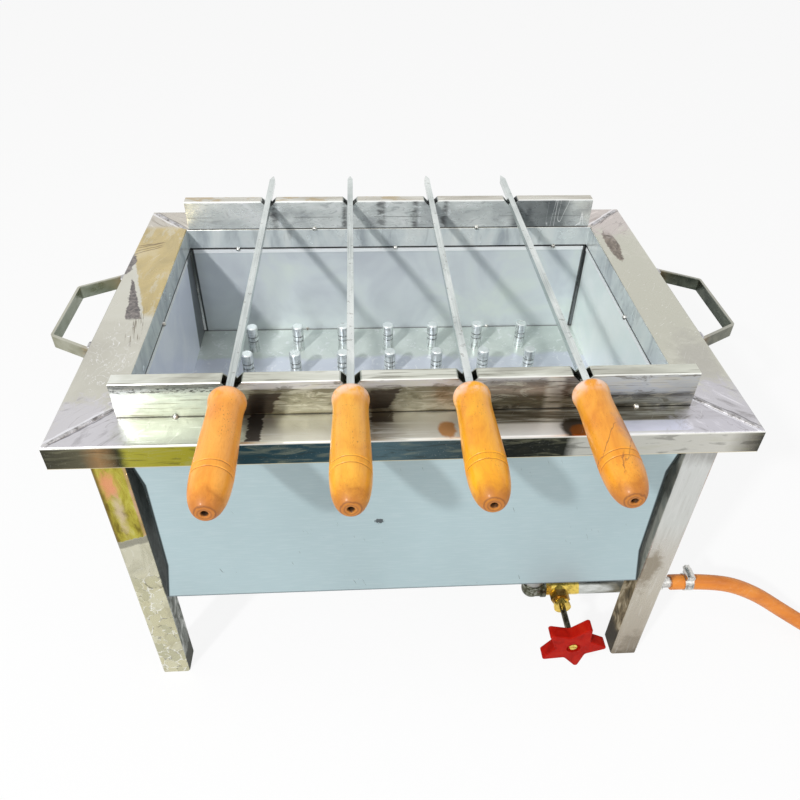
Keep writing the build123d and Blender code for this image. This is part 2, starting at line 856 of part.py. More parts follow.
bonnet_end = boss_length + bonnet_hex_length + bonnet_neck_length
packing_start = bonnet_end - packing_room_depth + packing_back_gap
packing_end = packing_start + packing_length
stem_bore = stem_diameter + 2 * running_fit
thread_bore = thread_diameter + 2 * running_fit
with BuildPart() as valve_bonnet:
    with BuildSketch(across_stem(boss_length - socket_depth)):
        Circle(socket_diameter / 2 - socket_fit)
    extrude(amount=socket_depth)
    with BuildSketch(across_stem(boss_length)):
        RegularPolygon(bonnet_hex / 2, 6, major_radius=False)
    extrude(amount=bonnet_hex_length)
    with BuildSketch(across_stem(boss_length + bonnet_hex_length)):
        Circle(bonnet_neck_diameter / 2)
    extrude(amount=bonnet_neck_length)
    with BuildSketch(across_stem(0)):
        Circle(thread_bore / 2)
    extrude(amount=bonnet_end, mode=Mode.SUBTRACT)
    with BuildSketch(across_stem(bonnet_end - packing_room_depth)):
        Circle(packing_room_diameter / 2)
    extrude(amount=packing_room_depth, mode=Mode.SUBTRACT)
valve_bonnet.part.label = "valve_bonnet"
export_step(valve_bonnet.part, "parts/valve_bonnet.step")

with BuildPart() as valve_packing:
    with BuildSketch(across_stem(packing_start)):
        Circle(packing_room_diameter / 2 - socket_fit)
        Circle(stem_bore / 2, mode=Mode.SUBTRACT)
    extrude(amount=packing_length)
valve_packing.part.label = "valve_packing"
export_step(valve_packing.part, "parts/valve_packing.step")

with BuildPart() as valve_gland_nut:
    plate_start = bonnet_end + gland_gap
    gland_bore = stem_bore / 2 + gland_clearance
    with BuildSketch(stem_plane):
        Polygon(
            (gland_skirt_start, bonnet_neck_diameter / 2 + gland_clearance),
            (gland_skirt_start, gland_foot_diameter / 2),
            (plate_start, gland_rim_diameter / 2),
            (plate_start + gland_plate, gland_rim_diameter / 2),
            (plate_start + gland_plate, gland_bore),
            (packing_end + gland_pusher_gap, gland_bore),
            (packing_end + gland_pusher_gap, packing_room_diameter / 2 - gland_pusher_gap),
            (plate_start, packing_room_diameter / 2 - gland_pusher_gap),
            (plate_start, bonnet_neck_diameter / 2 + gland_clearance),
        )
    revolve(axis=stem_axis)
valve_gland_nut.part.label = "valve_gland_nut"
export_step(valve_gland_nut.part, "parts/valve_gland_nut.step")


# Needle, held on the spindle's tip so that it can turn there

with BuildPart() as valve_needle:
    disc_radius = chamber_diameter / 2 - needle_disc_fit
    neck_radius = thread_diameter / 2 - running_fit
    pin_hole = needle_pin_diameter / 2
    with BuildSketch(stem_plane):
        Polygon(
            (-needle_point, 0),
            (needle_cone_end, needle_slope * (needle_cone_end + needle_point)),
            (needle_cone_end, disc_radius),
            (needle_disc_end, disc_radius),
            (needle_disc_end, neck_radius),
            (needle_neck_end, neck_radius),
            (needle_neck_end, pin_hole),
            (needle_socket_start, pin_hole),
            (needle_socket_start, 0),
        )
    revolve(axis=stem_axis)
valve_needle.part.label = "valve_needle"
export_step(valve_needle.part, "parts/valve_needle.step")


# Spindle: pin, thread, stem and a square end for the knob

knob_front = knob_back + knob_thickness
square_end = knob_front - knob_recess_depth - knob_screw_clearance
with BuildPart() as valve_spindle:
    pin_radius = needle_pin_diameter / 2 - needle_pin_fit
    with BuildSketch(stem_plane):
        Polygon(
            (needle_socket_start + needle_pin_fit, 0),
            (needle_socket_start + needle_pin_fit, pin_radius),
            (needle_neck_end + needle_pin_fit, pin_radius),
            (needle_neck_end + needle_pin_fit, thread_diameter / 2),
            (thread_end, thread_diameter / 2),
            (thread_end, stem_diameter / 2),
            (knob_back, stem_diameter / 2),
            (knob_back, 0),
        )
    revolve(axis=stem_axis)
    with BuildSketch(across_stem(knob_back)):
        Rectangle(knob_square, knob_square)
    extrude(amount=square_end - knob_back)
    with BuildSketch(across_stem(square_end)):
        Circle(knob_screw_diameter / 2 + knob_screw_clearance)
    extrude(amount=-(knob_screw_length + knob_screw_clearance), mode=Mode.SUBTRACT)
valve_spindle.part.label = "valve_spindle"
export_step(valve_spindle.part, "parts/valve_spindle.step")


# Star knob

with BuildPart() as star_knob:
    with BuildSketch(across_stem(knob_back)):
        corners = []
        for n in range(2 * knob_points):
            angle = radians(knob_turned) + n * pi / knob_points
            radius = knob_valley_radius if n % 2 else knob_radius + knob_tip_fillet
            corners.append((radius * cos(angle), radius * sin(angle)))
        Polygon(*corners)
        rings = vertices().group_by(SortBy.DISTANCE)
        fillet(rings[-1], knob_tip_fillet)
        fillet(vertices().group_by(SortBy.DISTANCE)[0], knob_valley_fillet)
    extrude(amount=knob_thickness)
    rims = edges().group_by(Axis.Y)
    fillet(rims[0] + rims[-1], knob_edge)
    with BuildSketch(across_stem(knob_front)):
        Circle(knob_recess_diameter / 2)
    extrude(amount=-knob_recess_depth, mode=Mode.SUBTRACT)
    with BuildSketch(across_stem(knob_back)):
        Rectangle(knob_square + 2 * knob_square_fit, knob_square + 2 * knob_square_fit)
    extrude(amount=knob_thickness, mode=Mode.SUBTRACT)
star_knob.part.label = "star_knob"
export_step(star_knob.part, "parts/star_knob.step")

with BuildPart() as knob_screw:
    head_start = knob_front - knob_recess_depth
    head_end = head_start + knob_screw_head_height
    with BuildSketch(across_stem(head_start)):
        Circle(knob_screw_head_diameter / 2)
    extrude(amount=knob_screw_head_height)
    chamfer(edges().group_by(Axis.Y)[0], knob_screw_head_height / 4)
    with BuildSketch(across_stem(square_end - knob_screw_length)):
        Circle(knob_screw_diameter / 2)
    extrude(amount=head_start - square_end + knob_screw_length)
    with BuildSketch(across_stem(head_end)):
        Rectangle(knob_screw_head_diameter, knob_screw_slot)
    extrude(amount=-knob_screw_head_height / 2, mode=Mode.SUBTRACT)
knob_screw.part.label = "knob_screw"
export_step(knob_screw.part, "parts/knob_screw.step")


# Gas pipe behind the right front leg

with BuildPart() as gas_inlet_pipe:
    with BuildSketch(across_pipe(pipe_start)):
        Circle(pipe_diameter / 2)
        Circle(pipe_diameter / 2 - pipe_wall, mode=Mode.SUBTRACT)
    extrude(amount=pipe_length)
gas_inlet_pipe.part.label = "gas_inlet_pipe"
export_step(gas_inlet_pipe.part, "parts/gas_inlet_pipe.step")


# Hose barb in the pipe's end

barb_length = barb_teeth * barb_tooth_length
with BuildPart() as hose_barb:
    neck_start = pipe_end + barb_hex_length
    with BuildSketch(across_pipe(pipe_end - spigot_length)):
        Circle(spigot_radius)
    extrude(amount=spigot_length)
    with BuildSketch(across_pipe(pipe_end)):
        RegularPolygon(barb_hex / 2, 6, major_radius=False)
    extrude(amount=barb_hex_length)
    with BuildSketch(across_pipe(neck_start)):
        Circle(barb_neck_diameter / 2)
    extrude(amount=barb_neck_length)
    for tooth in range(barb_teeth):
        tooth_start = hose_start + tooth * barb_tooth_length
        with BuildSketch(pipe_plane):
            Polygon(
                (tooth_start, 0),
                (tooth_start, barb_diameter / 2),
                (tooth_start + barb_tooth_length, barb_diameter / 2 - barb_tooth),
                (tooth_start + barb_tooth_length, 0),
            )
        revolve(axis=pipe_axis)
    with BuildSketch(across_pipe(pipe_end - spigot_length)):
        Circle(barb_bore / 2)
    extrude(amount=spigot_length + barb_hex_length + barb_neck_length + barb_length, mode=Mode.SUBTRACT)
hose_barb.part.label = "hose_barb"
export_step(hose_barb.part, "parts/hose_barb.step")


# Worm clamp on the hose

band_radius = hose_radius + clamp_gap
clamp_x = hose_start + clamp_start
with BuildPart() as hose_clamp_band:
    with BuildSketch(across_pipe(clamp_x)):
        Circle(band_radius + clamp_sheet)
        Circle(band_radius, mode=Mode.SUBTRACT)
    extrude(amount=clamp_width)
hose_clamp_band.part.label = "hose_clamp_band"
export_step(hose_clamp_band.part, "parts/hose_clamp_band.step")

worm_radius = worm_diameter / 2
worm_z = pipe_z + band_radius + clamp_sheet + worm_gap + worm_radius
worm_middle = clamp_x + clamp_width / 2
worm_room = worm_radius + worm_clearance
housing_radius = worm_room + housing_wall
with BuildPart() as hose_clamp_housing:
    worm_rise = worm_gap / 2 + worm_radius
    housing_back = (worm_middle, pipe_y + housing_length / 2, worm_z)
    with BuildSketch(Plane(housing_back, x_dir=(1, 0, 0), z_dir=(0, -1, 0))):
        Circle(housing_radius)
        with Locations((0, -worm_rise / 2)):
            Rectangle(2 * housing_radius, worm_rise)
        with Locations((0, -housing_radius / 2 - worm_rise)):
            Rectangle(2 * housing_radius, housing_radius, mode=Mode.SUBTRACT)
        Circle(worm_room, mode=Mode.SUBTRACT)
        with Locations((0, -worm_rise)):
            Rectangle(2 * worm_room, 2 * worm_rise, mode=Mode.SUBTRACT)
    extrude(amount=housing_length)
hose_clamp_housing.part.label = "hose_clamp_housing"
export_step(hose_clamp_housing.part, "parts/hose_clamp_housing.step")

with BuildPart() as hose_clamp_screw:
    worm_back = pipe_y + housing_length / 2 + worm_clearance
    with BuildSketch(Plane((worm_middle, worm_back, worm_z), x_dir=(1, 0, 0), z_dir=(0, -1, 0))):
        Circle(worm_radius)
    extrude(amount=housing_length + 2 * worm_clearance)
    with BuildSketch(Plane((worm_middle, worm_back, worm_z), x_dir=(1, 0, 0), z_dir=(0, -1, 0))):
        RegularPolygon(worm_head_diameter / 2, 6)
    extrude(amount=-worm_head_length)
    head_back = (worm_middle, worm_back + worm_head_length, worm_z)
    with BuildSketch(Plane(head_back, x_dir=(1, 0, 0), z_dir=(0, -1, 0))):
        Rectangle(worm_slot, worm_head_diameter)
    extrude(amount=worm_head_length / 2, mode=Mode.SUBTRACT)
hose_clamp_screw.part.label = "hose_clamp_screw"
export_step(hose_clamp_screw.part, "parts/hose_clamp_screw.step")


# Gas hose from the barb down to the ground

drop = pipe_z - hose_radius
hose_route = [
    Vector(hose_start + along, pipe_y + aside, hose_radius + share * drop)
    for along, aside, share in hose_way
]
runs = [after - before for before, after in zip(hose_route, hose_route[1:])]
hose_bends = []
for run_in, run_out in zip(runs, runs[1:]):
    half_turn = radians(run_in.get_angle(run_out)) / 2
    hose_bends.append(hose_bend_share * min(run_in.length, run_out.length) / tan(half_turn))
print("hose bend radii", [round(bend, 1) for bend in hose_bends])

with BuildPart() as gas_hose:
    with BuildLine() as hose_line:
        FilletPolyline(*hose_route, radius=hose_bends)
    with BuildSketch(across_pipe(hose_start)):
        Circle(hose_radius)
    sweep(path=hose_line.wire())
    print("hose volume", gas_hose.part.volume, "against", pi * hose_radius**2 * hose_line.wire().length)
    with BuildSketch(across_pipe(hose_start)):
        Circle(barb_diameter / 2 + barb_fit)
    extrude(amount=barb_length + barb_tooth, mode=Mode.SUBTRACT)
gas_hose.part.label = "gas_hose"
export_step(gas_hose.part, "parts/gas_hose.step")


# Coil: a flat spiral whose last half turn climbs onto the turns outside it

coil_entry = hose_route[-1]
entry_heading = runs[-1].normalized()
coil_start = coil_entry + entry_heading * coil_lead
draw_in = coil_pitch / (2 * pi)
entry_angle = atan2(entry_heading.Y, entry_heading.X) - pi / 2 - atan(draw_in / coil_radius)
coil_centre = coil_start - Vector(cos(entry_angle), sin(entry_angle)) * coil_radius


def coil_place(turn):
    """The coil's centreline after so many turns: its place and its heading."""
    angle = entry_angle + 2 * pi * turn
    radius = coil_radius - coil_pitch * turn
    climbed = max(0.0, turn - coil_turns + coil_climb_turns) / coil_climb_turns
    height = coil_rise * (1 - cos(pi * climbed)) / 2
    slope = coil_rise * sin(pi * climbed) / (4 * coil_climb_turns)
    outward = Vector(cos(angle), sin(angle))
    along = Vector(-sin(angle), cos(angle))
    place = coil_centre + outward * radius + Vector(0, 0, height)
    return place, (along * radius - outward * draw_in + Vector(0, 0, slope)).normalized()


def arc_middle(start, corner, end):
    """The middle of the arc from start to end whose tangents meet at the corner."""
    weight = (end - start).length / (corner - start).length
    return (start + corner * weight + end) / (2 + weight)


def tangent_pair(start, start_heading, end, end_heading):
    """Two arcs that leave start and reach end along the given headings, as points to pass."""
    chord = end - start
    pull = chord.dot(start_heading + end_heading)
    spread = 2 * (1 - start_heading.dot(end_heading))
    reach = (sqrt(pull**2 + spread * chord.dot(chord)) - pull) / spread
    first_corner = start + start_heading * reach
    last_corner = end - end_heading * reach
    joint = (first_corner + last_corner) / 2
    return [start, arc_middle(start, first_corner, joint), joint, arc_middle(joint, last_corner, end), end]


quarter_turns = round(4 * coil_turns)
coil_stations = [coil_place(quarter / 4) for quarter in range(quarter_turns + 1)]
coil_end, end_heading = coil_stations[-1]
coil_tip = coil_end + end_heading * coil_tail
tail_plane = Plane(coil_tip, x_dir=end_heading, z_dir=end_heading.cross(Vector(0, 0, 1)))
tail_axis = Axis(coil_tip, end_heading)


def across_tail(distance):
    """A plane square to the hose's far end, at a distance past it."""
    return Plane(coil_tip + end_heading * distance, x_dir=(0, 0, 1), z_dir=end_heading)


with BuildPart() as gas_hose_coil:
    with BuildLine() as coil_line:
        Line(coil_entry, coil_start)
        for (start, heading_in), (end, heading_out) in zip(coil_stations, coil_stations[1:]):
            pair = tangent_pair(start, heading_in, end, heading_out)
            ThreePointArc(*pair[:3])
            ThreePointArc(*pair[2:])
        Line(coil_end, coil_tip)
    with BuildSketch(Plane(coil_entry, x_dir=(0, 0, 1), z_dir=entry_heading)):
        Circle(hose_radius)
    sweep(path=coil_line.wire())
    print("coil volume", gas_hose_coil.part.volume, "against", pi * hose_radius**2 * coil_line.wire().length)
    with BuildSketch(across_tail(0)):
        Circle(barb_diameter / 2 + barb_fit)
    extrude(amount=-(tail_barb_length + barb_tooth), mode=Mode.SUBTRACT)
gas_hose_coil.part.label = "gas_hose_coil"
export_step(gas_hose_coil.part, "parts/gas_hose_coil.step")

coil_wire = coil_line.wire()
coil_length = coil_wire.length
steps = round(coil_length / 3)
samples = [coil_wire.position_at(step / steps) for step in range(steps + 1)]
apart = round(steps * coil_radius / coil_length)
least = min(
    (samples[later] - samples[earlier]).length
    for earlier in range(steps + 1)
    for later in range(earlier + apart, steps + 1)
)
print("coil's least gap to itself", round(least - hose_diameter, 2))
print("hose length", round(hose_line.wire().length + coil_length, 1))
print("coil centre", coil_centre, "tip", coil_tip, "heading", end_heading)


# Ferrule, tail and union nut on the hose's far end

with BuildPart() as hose_ferrule:
    with BuildSketch(across_tail(0)):
        Circle(band_radius + ferrule_sheet)
        Circle(band_radius, mode=Mode.SUBTRACT)
    extrude(amount=-ferrule_length)
hose_ferrule.part.label = "hose_ferrule"
export_step(hose_ferrule.part, "parts/hose_ferrule.step")

seat_start = tail_collar_length + tail_neck_length
seat_end = seat_start + tail_seat_length
with BuildPart() as hose_tail:
    with BuildSketch(tail_plane):
        Polygon(
            (-tail_barb_length, barb_bore / 2),
            (-tail_barb_length, barb_diameter / 2 - barb_tooth),
            (0, barb_diameter / 2),
            (0, tail_collar_diameter / 2),
            (tail_collar_length, tail_collar_diameter / 2),
            (tail_collar_length, tail_neck_diameter / 2),
            (seat_start, tail_neck_diameter / 2),
            (seat_start, tail_seat_diameter / 2),
            (seat_end - tail_seat_length / 2, tail_seat_diameter / 2),
            (seat_end, barb_bore / 2 + tail_seat_length / 2),
            (seat_end, barb_bore / 2),
        )
    revolve(axis=tail_axis)
hose_tail.part.label = "hose_tail"
export_step(hose_tail.part, "parts/hose_tail.step")

with BuildPart() as hose_union_nut:
    union_start = tail_collar_length + union_gap
    union_room = union_bore_radius + union_undercut
    with BuildSketch(across_tail(union_start)):
        RegularPolygon(union_hex / 2, 6, major_radius=False)
        Circle(tail_neck_diameter / 2 + union_clearance, mode=Mode.SUBTRACT)
    extrude(amount=union_length)
    with BuildSketch(across_tail(union_start + union_floor)):
        Circle(union_room)
    extrude(amount=union_undercut_length, mode=Mode.SUBTRACT)
    with BuildSketch(across_tail(union_start + union_floor)):
        Circle(union_bore_radius)
    extrude(amount=union_length, mode=Mode.SUBTRACT)
hose_union_nut.part.label = "hose_union_nut"
export_step(hose_union_nut.part, "parts/hose_union_nut.step")


# Skewers: rods in the notches, and their turned wooden grips

grip_front = front_y + grip_setback
tip_y = back_y + tip_overhang
tang_length = grip_length - grip_bore_end - 2 * grip_fit


def skewer_rod(x):
    """A square bar with a pointed tip and a round tang that fills the grip's blind bore."""
    with BuildPart() as rod:
        with BuildSketch(Plane((x, tip_y - tip_length, skewer_z), x_dir=(1, 0, 0), z_dir=(0, -1, 0))):
            Rectangle(bar_side, bar_side)
        extrude(amount=tip_y - tip_length - grip_front - grip_fit)
        with BuildSketch(Plane((x, tip_y - tip_length, skewer_z), x_dir=(-1, 0, 0), z_dir=(0, 1, 0))):
            Rectangle(bar_side, bar_side)
        with BuildSketch(Plane((x, tip_y, skewer_z), x_dir=(-1, 0, 0), z_dir=(0, 1, 0))):
            Rectangle(tip_flat, tip_flat)
        loft()
        with BuildSketch(Plane((x, grip_front + grip_fit, skewer_z), x_dir=(1, 0, 0), z_dir=(0, -1, 0))):
            Circle(tang_diameter / 2)
        extrude(amount=tang_length + grip_fit)
    return rod


def skewer_grip(x):
    """A turned grip: rim, waist, swell, and a domed end with a pilot hole in to the bore."""
    shoulder = (0, grip_shoulder_diameter / 2)
    rim = (grip_rim_share * grip_length, grip_rim_diameter / 2)
    waist = (grip_waist_share * grip_length, grip_waist_diameter / 2)
    barrel = (grip_barrel_share * grip_length, grip_barrel_diameter / 2)
    swell = (grip_swell_share * grip_length, grip_diameter / 2)
    dome = (grip_dome_share * grip_length, grip_dome_diameter / 2)
    end = (grip_length, grip_end_diameter / 2)
    bore = tang_diameter / 2 + grip_fit
    bore_end = grip_length - grip_bore_end
    pilot = grip_pilot_diameter / 2
    with BuildPart() as grip:
        with BuildSketch(Plane((x, grip_front, skewer_z), x_dir=(0, -1, 0), z_dir=(-1, 0, 0))):
            with BuildLine():
                Line((0, bore), shoulder)
                Spline(shoulder, rim, waist, barrel, swell, tangents=((0.25, 1), (1, 0)))
                Spline(swell, dome, end, tangents=((1, 0), (0.3, -1)))
                Polyline(end, (grip_length, pilot), (bore_end, pilot), (bore_end, bore), (0, bore))
            make_face()
            with Locations([(share * grip_length, grip_diameter / 2) for share in grip_groove_shares]):
                Rectangle(2 * grip_groove, 2 * grip_groove, mode=Mode.SUBTRACT)
        revolve(axis=Axis((x, grip_front, skewer_z), (0, -1, 0)))
    return grip


for number, skewer_x in enumerate(skewer_places, 1):
    rod = skewer_rod(skewer_x)
    rod.part.label = f"skewer_rod_{number}"
    export_step(rod.part, f"parts/skewer_rod_{number}.step")
    grip = skewer_grip(skewer_x)
    grip.part.label = f"skewer_handle_{number}"
    export_step(grip.part, f"parts/skewer_handle_{number}.step")


# Tack welds: drops cut off by the faces that they lie on

def drops(places, cuts):
    """Balls of weld metal at the places, each kept on the open side of the cutting planes."""
    with BuildPart() as balls:
        with Locations(places):
            Sphere(tack_radius)
        for cut in cuts:
            split(bisect_by=cut)
    return balls.part


lip_gap_z = wall_top + pit_lip_gap / 2
rail_tack_x = rail_length / 2 - rail_tack_inset
rail_tacks = [(x, rail_y, frame_height) for x in (-rail_tack_x, rail_tack_x)]
front_rail_tacks = drops(rail_tacks, [Plane.XY.offset(frame_height), upright(rail_y)])
lip_tacks = [(x, pit_back, lip_gap_z) for x in back_tack_places]
rear_tacks = [(x, pit_back, frame_height) for x in rear_rail_tack_places]
back_tacks = drops(lip_tacks + rear_tacks, [upright(pit_back)])
wall_foot = [(x, pit_back + pit_sheet, floor_z) for x in floor_tack_places]
floor_tacks = drops(wall_foot, [Plane.XY.offset(floor_z), upright(pit_back + pit_sheet)])
front_lip_tacks = drops([(x, pit_front, lip_gap_z) for x in back_tack_places], [-upright(pit_front)])
right_tack = drops([(pit_x, middle_y, lip_gap_z)], [-Plane.YZ.offset(pit_x)])

with BuildPart() as tack_welds:
    add(front_rail_tacks)
    add(back_tacks)
    add(floor_tacks)
    add(front_lip_tacks)
    add(right_tack)
    mirror(right_tack, about=Plane.YZ)
tack_welds.part.label = "tack_welds"
export_step(tack_welds.part, "parts/tack_welds.step")
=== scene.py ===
from math import atan, atan2, copysign, cos, hypot, pi, radians, sin

import bmesh
import bpy
from bpy.props import FloatProperty, FloatVectorProperty, IntProperty, PointerProperty
from mathutils import Matrix, Vector


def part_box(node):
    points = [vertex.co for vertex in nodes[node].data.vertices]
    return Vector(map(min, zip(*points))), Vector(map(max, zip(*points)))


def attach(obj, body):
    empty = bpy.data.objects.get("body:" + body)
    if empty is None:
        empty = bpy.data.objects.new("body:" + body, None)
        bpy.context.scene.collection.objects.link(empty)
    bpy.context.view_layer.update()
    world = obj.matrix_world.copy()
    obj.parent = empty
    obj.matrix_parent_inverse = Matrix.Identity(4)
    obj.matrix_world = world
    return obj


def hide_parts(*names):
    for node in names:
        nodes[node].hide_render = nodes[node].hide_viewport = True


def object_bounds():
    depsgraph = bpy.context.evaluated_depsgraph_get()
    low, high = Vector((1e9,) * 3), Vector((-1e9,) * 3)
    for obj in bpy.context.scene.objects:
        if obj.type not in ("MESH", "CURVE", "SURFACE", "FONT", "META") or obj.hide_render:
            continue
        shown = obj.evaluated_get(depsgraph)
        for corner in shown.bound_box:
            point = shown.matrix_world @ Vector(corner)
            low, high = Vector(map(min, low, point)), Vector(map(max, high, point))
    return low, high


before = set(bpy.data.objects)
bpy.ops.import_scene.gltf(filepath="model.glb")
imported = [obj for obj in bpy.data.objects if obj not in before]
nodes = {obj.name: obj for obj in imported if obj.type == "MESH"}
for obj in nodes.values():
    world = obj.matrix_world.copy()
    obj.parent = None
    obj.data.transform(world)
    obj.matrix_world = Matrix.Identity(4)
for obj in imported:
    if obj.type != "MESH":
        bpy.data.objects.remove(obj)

bl_info = {
    "name": "Gas Skewer Grill Looks",
    "version": (1, 0, 0),
    "blender": (4, 5, 0),
    "location": "View3D > Sidebar > Grill",
    "description": "Gas hose, turned grips, weld beads, finishes and studio for a gas skewer grill",
    "category": "Object",
}

cad_low, cad_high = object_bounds()
skewer_numbers = (1, 2, 3, 4)


# Settings

def amount(name, text, default):
    return FloatProperty(name=name, description=text, default=default)


def metres(name, text, default):
    return FloatProperty(name=name, description=text, default=default, unit="LENGTH")


def colour(name, text, *default):
    return FloatVectorProperty(name=name, description=text, default=default, subtype="COLOR")


class HoseSettings(bpy.types.PropertyGroup):
    diameter: metres("Diameter", "Outside diameter of the gas hose", 0.016)
    coil_radius: metres("Coil radius", "Radius at which the coil begins", 0.102)
    coil_turns: amount("Turns", "Turns in the put-away coil", 2.25)
    turn_step: metres("Turn step", "How much nearer to the middle each turn lies", 0.017)
    climb: metres("Climb", "How high the last half turn climbs onto the others", 0.0195)
    tail: metres("Tail", "Straight end before the fitting", 0.018)
    rubber: colour("Rubber", "Colour of the hose", 0.72, 0.225, 0.022)


class GripSettings(bpy.types.PropertyGroup):
    steps: IntProperty(
        name="Steps", description="Faces round a grip before it is smoothed", default=36, min=12,
    )
    groove_depth: metres("Groove depth", "Depth of the burnt grooves", 0.0005)
    wood: colour("Wood", "Colour of the varnished wood", 0.86, 0.375, 0.035)
    pale_wood: colour("Pale wood", "Colour of the worn rims", 0.92, 0.70, 0.60)
    scorch: colour("Scorch", "Colour of the burnt grooves", 0.20, 0.06, 0.010)


class WeldSettings(bpy.types.PropertyGroup):
    width: metres("Bead width", "Width of a weld bead", 0.0036)
    height: metres("Bead height", "Height of a bead above the sheet", 0.0009)
    ripple: metres("Ripple", "Distance from one ripple to the next", 0.0026)
    metal: colour("Weld metal", "Colour of the beads", 0.44, 0.43, 0.43)


class SteelSettings(bpy.types.PropertyGroup):
    bright: colour("Bright steel", "Polished stainless sheet", 0.64, 0.63, 0.555)
    dull: colour("Dull steel", "Shaded parts of the polish", 0.53, 0.515, 0.45)
    film: colour("Film", "Wrinkles of the protective film", 0.84, 0.84, 0.83)
    satin: colour("Satin", "Sheet of the fire pit", 0.67, 0.72, 0.735)
    panel: colour("Panel", "Matt sheet of the body panels", 0.385, 0.494, 0.519)


class GasSettings(bpy.types.PropertyGroup):
    knob: colour("Knob", "Colour of the star knob", 0.40, 0.009, 0.004)
    brass: colour("Brass", "Colour of the tap's brass", 0.80, 0.60, 0.13)
    dark_brass: colour("Old brass", "Colour of the bonnet", 0.34, 0.20, 0.05)
    zinc: colour("Zinc", "Colour of plated pieces", 0.62, 0.61, 0.58)


class StageSettings(bpy.types.PropertyGroup):
    lens: amount("Lens", "Focal length of the camera", 32.09)
    place: FloatVectorProperty(
        name="Camera place", description="Where the camera stands", subtype="TRANSLATION",
        default=(-0.0382, -0.5694, 0.6913),
    )
    aim: FloatVectorProperty(
        name="Camera aim", description="How the camera turns, tilts and rolls", unit="ROTATION",
        default=(radians(-3.98), radians(-39.57), radians(1.32)),
    )
    key_power: amount("Key light", "Power of the lamp at the upper left in watts", 40.0)
    fill_power: amount("Fill light", "Power of the side lamp in watts", 5.0)
    ambient: amount("Ambient", "Strength of the plain surround on the object", 0.50)
    floor_glow: amount("Floor glow", "Share of the floor that is plain white", 0.88)


class GrillSettings(bpy.types.PropertyGroup):
    hose: PointerProperty(type=HoseSettings)
    grips: PointerProperty(type=GripSettings)
    welds: PointerProperty(type=WeldSettings)
    steel: PointerProperty(type=SteelSettings)
    gas: PointerProperty(type=GasSettings)
    stage: PointerProperty(type=StageSettings)


# Shared helpers

def grey(value):
    return (value, value, value)


def shade(colour, factor):
    """A colour made darker or paler."""
    return tuple(min(1.0, channel * factor) for channel in colour)


def tinted(colour, factors):
    """A colour with each channel made darker or paler on its own."""
    return tuple(min(1.0, channel * factor) for channel, factor in zip(colour, factors))


